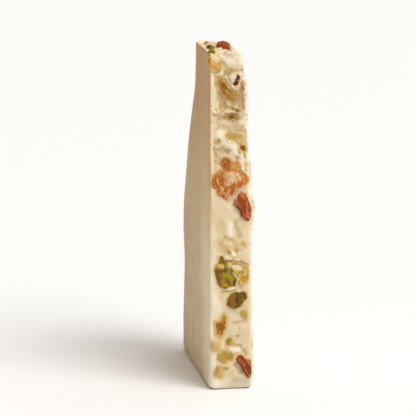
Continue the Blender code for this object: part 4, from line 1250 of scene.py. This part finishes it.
def filling_material(slot):
    """A kind of nut or fruit."""
    look = LOOKS[slot]
    s = Shader(slot)
    grain = s.attribute("grain", "Vector")
    fine = s.noise(0.5, 4.0, grain, look.streaks)
    s.set(Base_Color=s.tinted(s.span(fine, 0.42, 0.68, 0.0, 0.7), (0.82, 0.74, 0.60)))
    s.set(Roughness=look.roughness, Specular_IOR_Level=FILLING_SHEEN)
    s.set(Subsurface_Weight=look.clear, Subsurface_Scale=0.0010, Subsurface_Radius=(1.0, 0.55, 0.25))
    s.set(Coat_Weight=look.coat, Coat_Roughness=0.12)
    s.bump(s.noise(0.4, 4.0, grain, look.streaks), 0.12)
    return s.material


# ---------------------------------------------------------------- stage


def add_floor():
    """A plain pale floor."""
    mesh = bpy.data.meshes.new("floor")
    mesh.from_pydata([(-6, -4, 0), (6, -4, 0), (6, 8, 0), (-6, 8, 0)], [], [(0, 1, 2, 3)])
    floor = add_object("floor", mesh)
    s = Shader("floor")
    s.set(Base_Color=(0.93, 0.952, 0.98, 1.0), Roughness=0.7)
    mesh.materials.append(s.material)


def add_sun():
    """A soft light that falls evenly from the right."""
    light = bpy.data.lights.new("key", "SUN")
    light.energy, light.angle, light.color = SUN_LIGHT, 0.7, NEAR_WHITE
    lamp = add_object("key", light)
    lamp.rotation_euler = (-Vector(SUN_PLACE)).to_track_quat("-Z", "Y").to_euler()


def add_studio():
    """A white studio: a bright ceiling, light walls on the right and a dim warm wall on the left."""
    world = bpy.data.worlds.new("studio")
    bpy.context.scene.world = world
    world.use_nodes = True
    sky = Nodes(world.node_tree)
    way = sky.nodes.new("ShaderNodeSeparateXYZ")
    sky.put(way.inputs[0], sky.nodes.new("ShaderNodeTexCoord").outputs["Generated"])
    right, _, up = way.outputs
    walls = sky.span(right, -0.3, 0.6, 0.02, WALL_LIGHT)
    ceiling = sky.span(up, 0.60, 0.85, 0.0, CEILING_LIGHT)
    colour = sky.mix("MIX", sky.span(right, -0.7, 0.2), (*WARM_WHITE, 1.0), (*NEAR_WHITE, 1.0))
    light = sky.nodes["Background"].inputs
    sky.put(light["Strength"], sky.math("ADD", walls, ceiling))
    sky.put(light["Color"], colour)


def add_camera():
    """The photograph's viewing angle."""
    data = bpy.data.cameras.new("camera")
    data.lens, data.sensor_width = LENS, SENSOR
    data.clip_start, data.clip_end = 0.01, 30.0
    camera = add_object("camera", data)
    camera.location = CAMERA_PLACE
    camera.rotation_euler = (Vector(CAMERA_AIM) - Vector(CAMERA_PLACE)).to_track_quat("-Z", "Y").to_euler()
    bpy.context.scene.camera = camera
    bpy.context.scene.view_settings.view_transform = "Standard"


def main():
    """Everything."""
    add_camera()
    add_studio()
    add_sun()
    add_floor()
    fillings = [Filling(name, index) for index, name in enumerate(FILLINGS)]
    finishes = {slot: filling_material(slot) for slot in LOOKS}
    for filling in fillings:
        filling.add().data.materials.append(finishes[filling.slot])
    chocolate = Chocolate(fillings)
    chocolate.add().data.materials.append(chocolate_material())
    surface = Surface(chocolate, fillings)
    loose = (
        (add_specks(surface), speck_material(), "toasted_nut"),
        (add_crumbs(surface, fillings), crumb_material(), "white_chocolate"),
        (add_sugar(surface, fillings), sugar_material(), "candied_orange"),
    )
    for piece, finish, slot in loose:
        piece.data.materials.append(finish)


main()
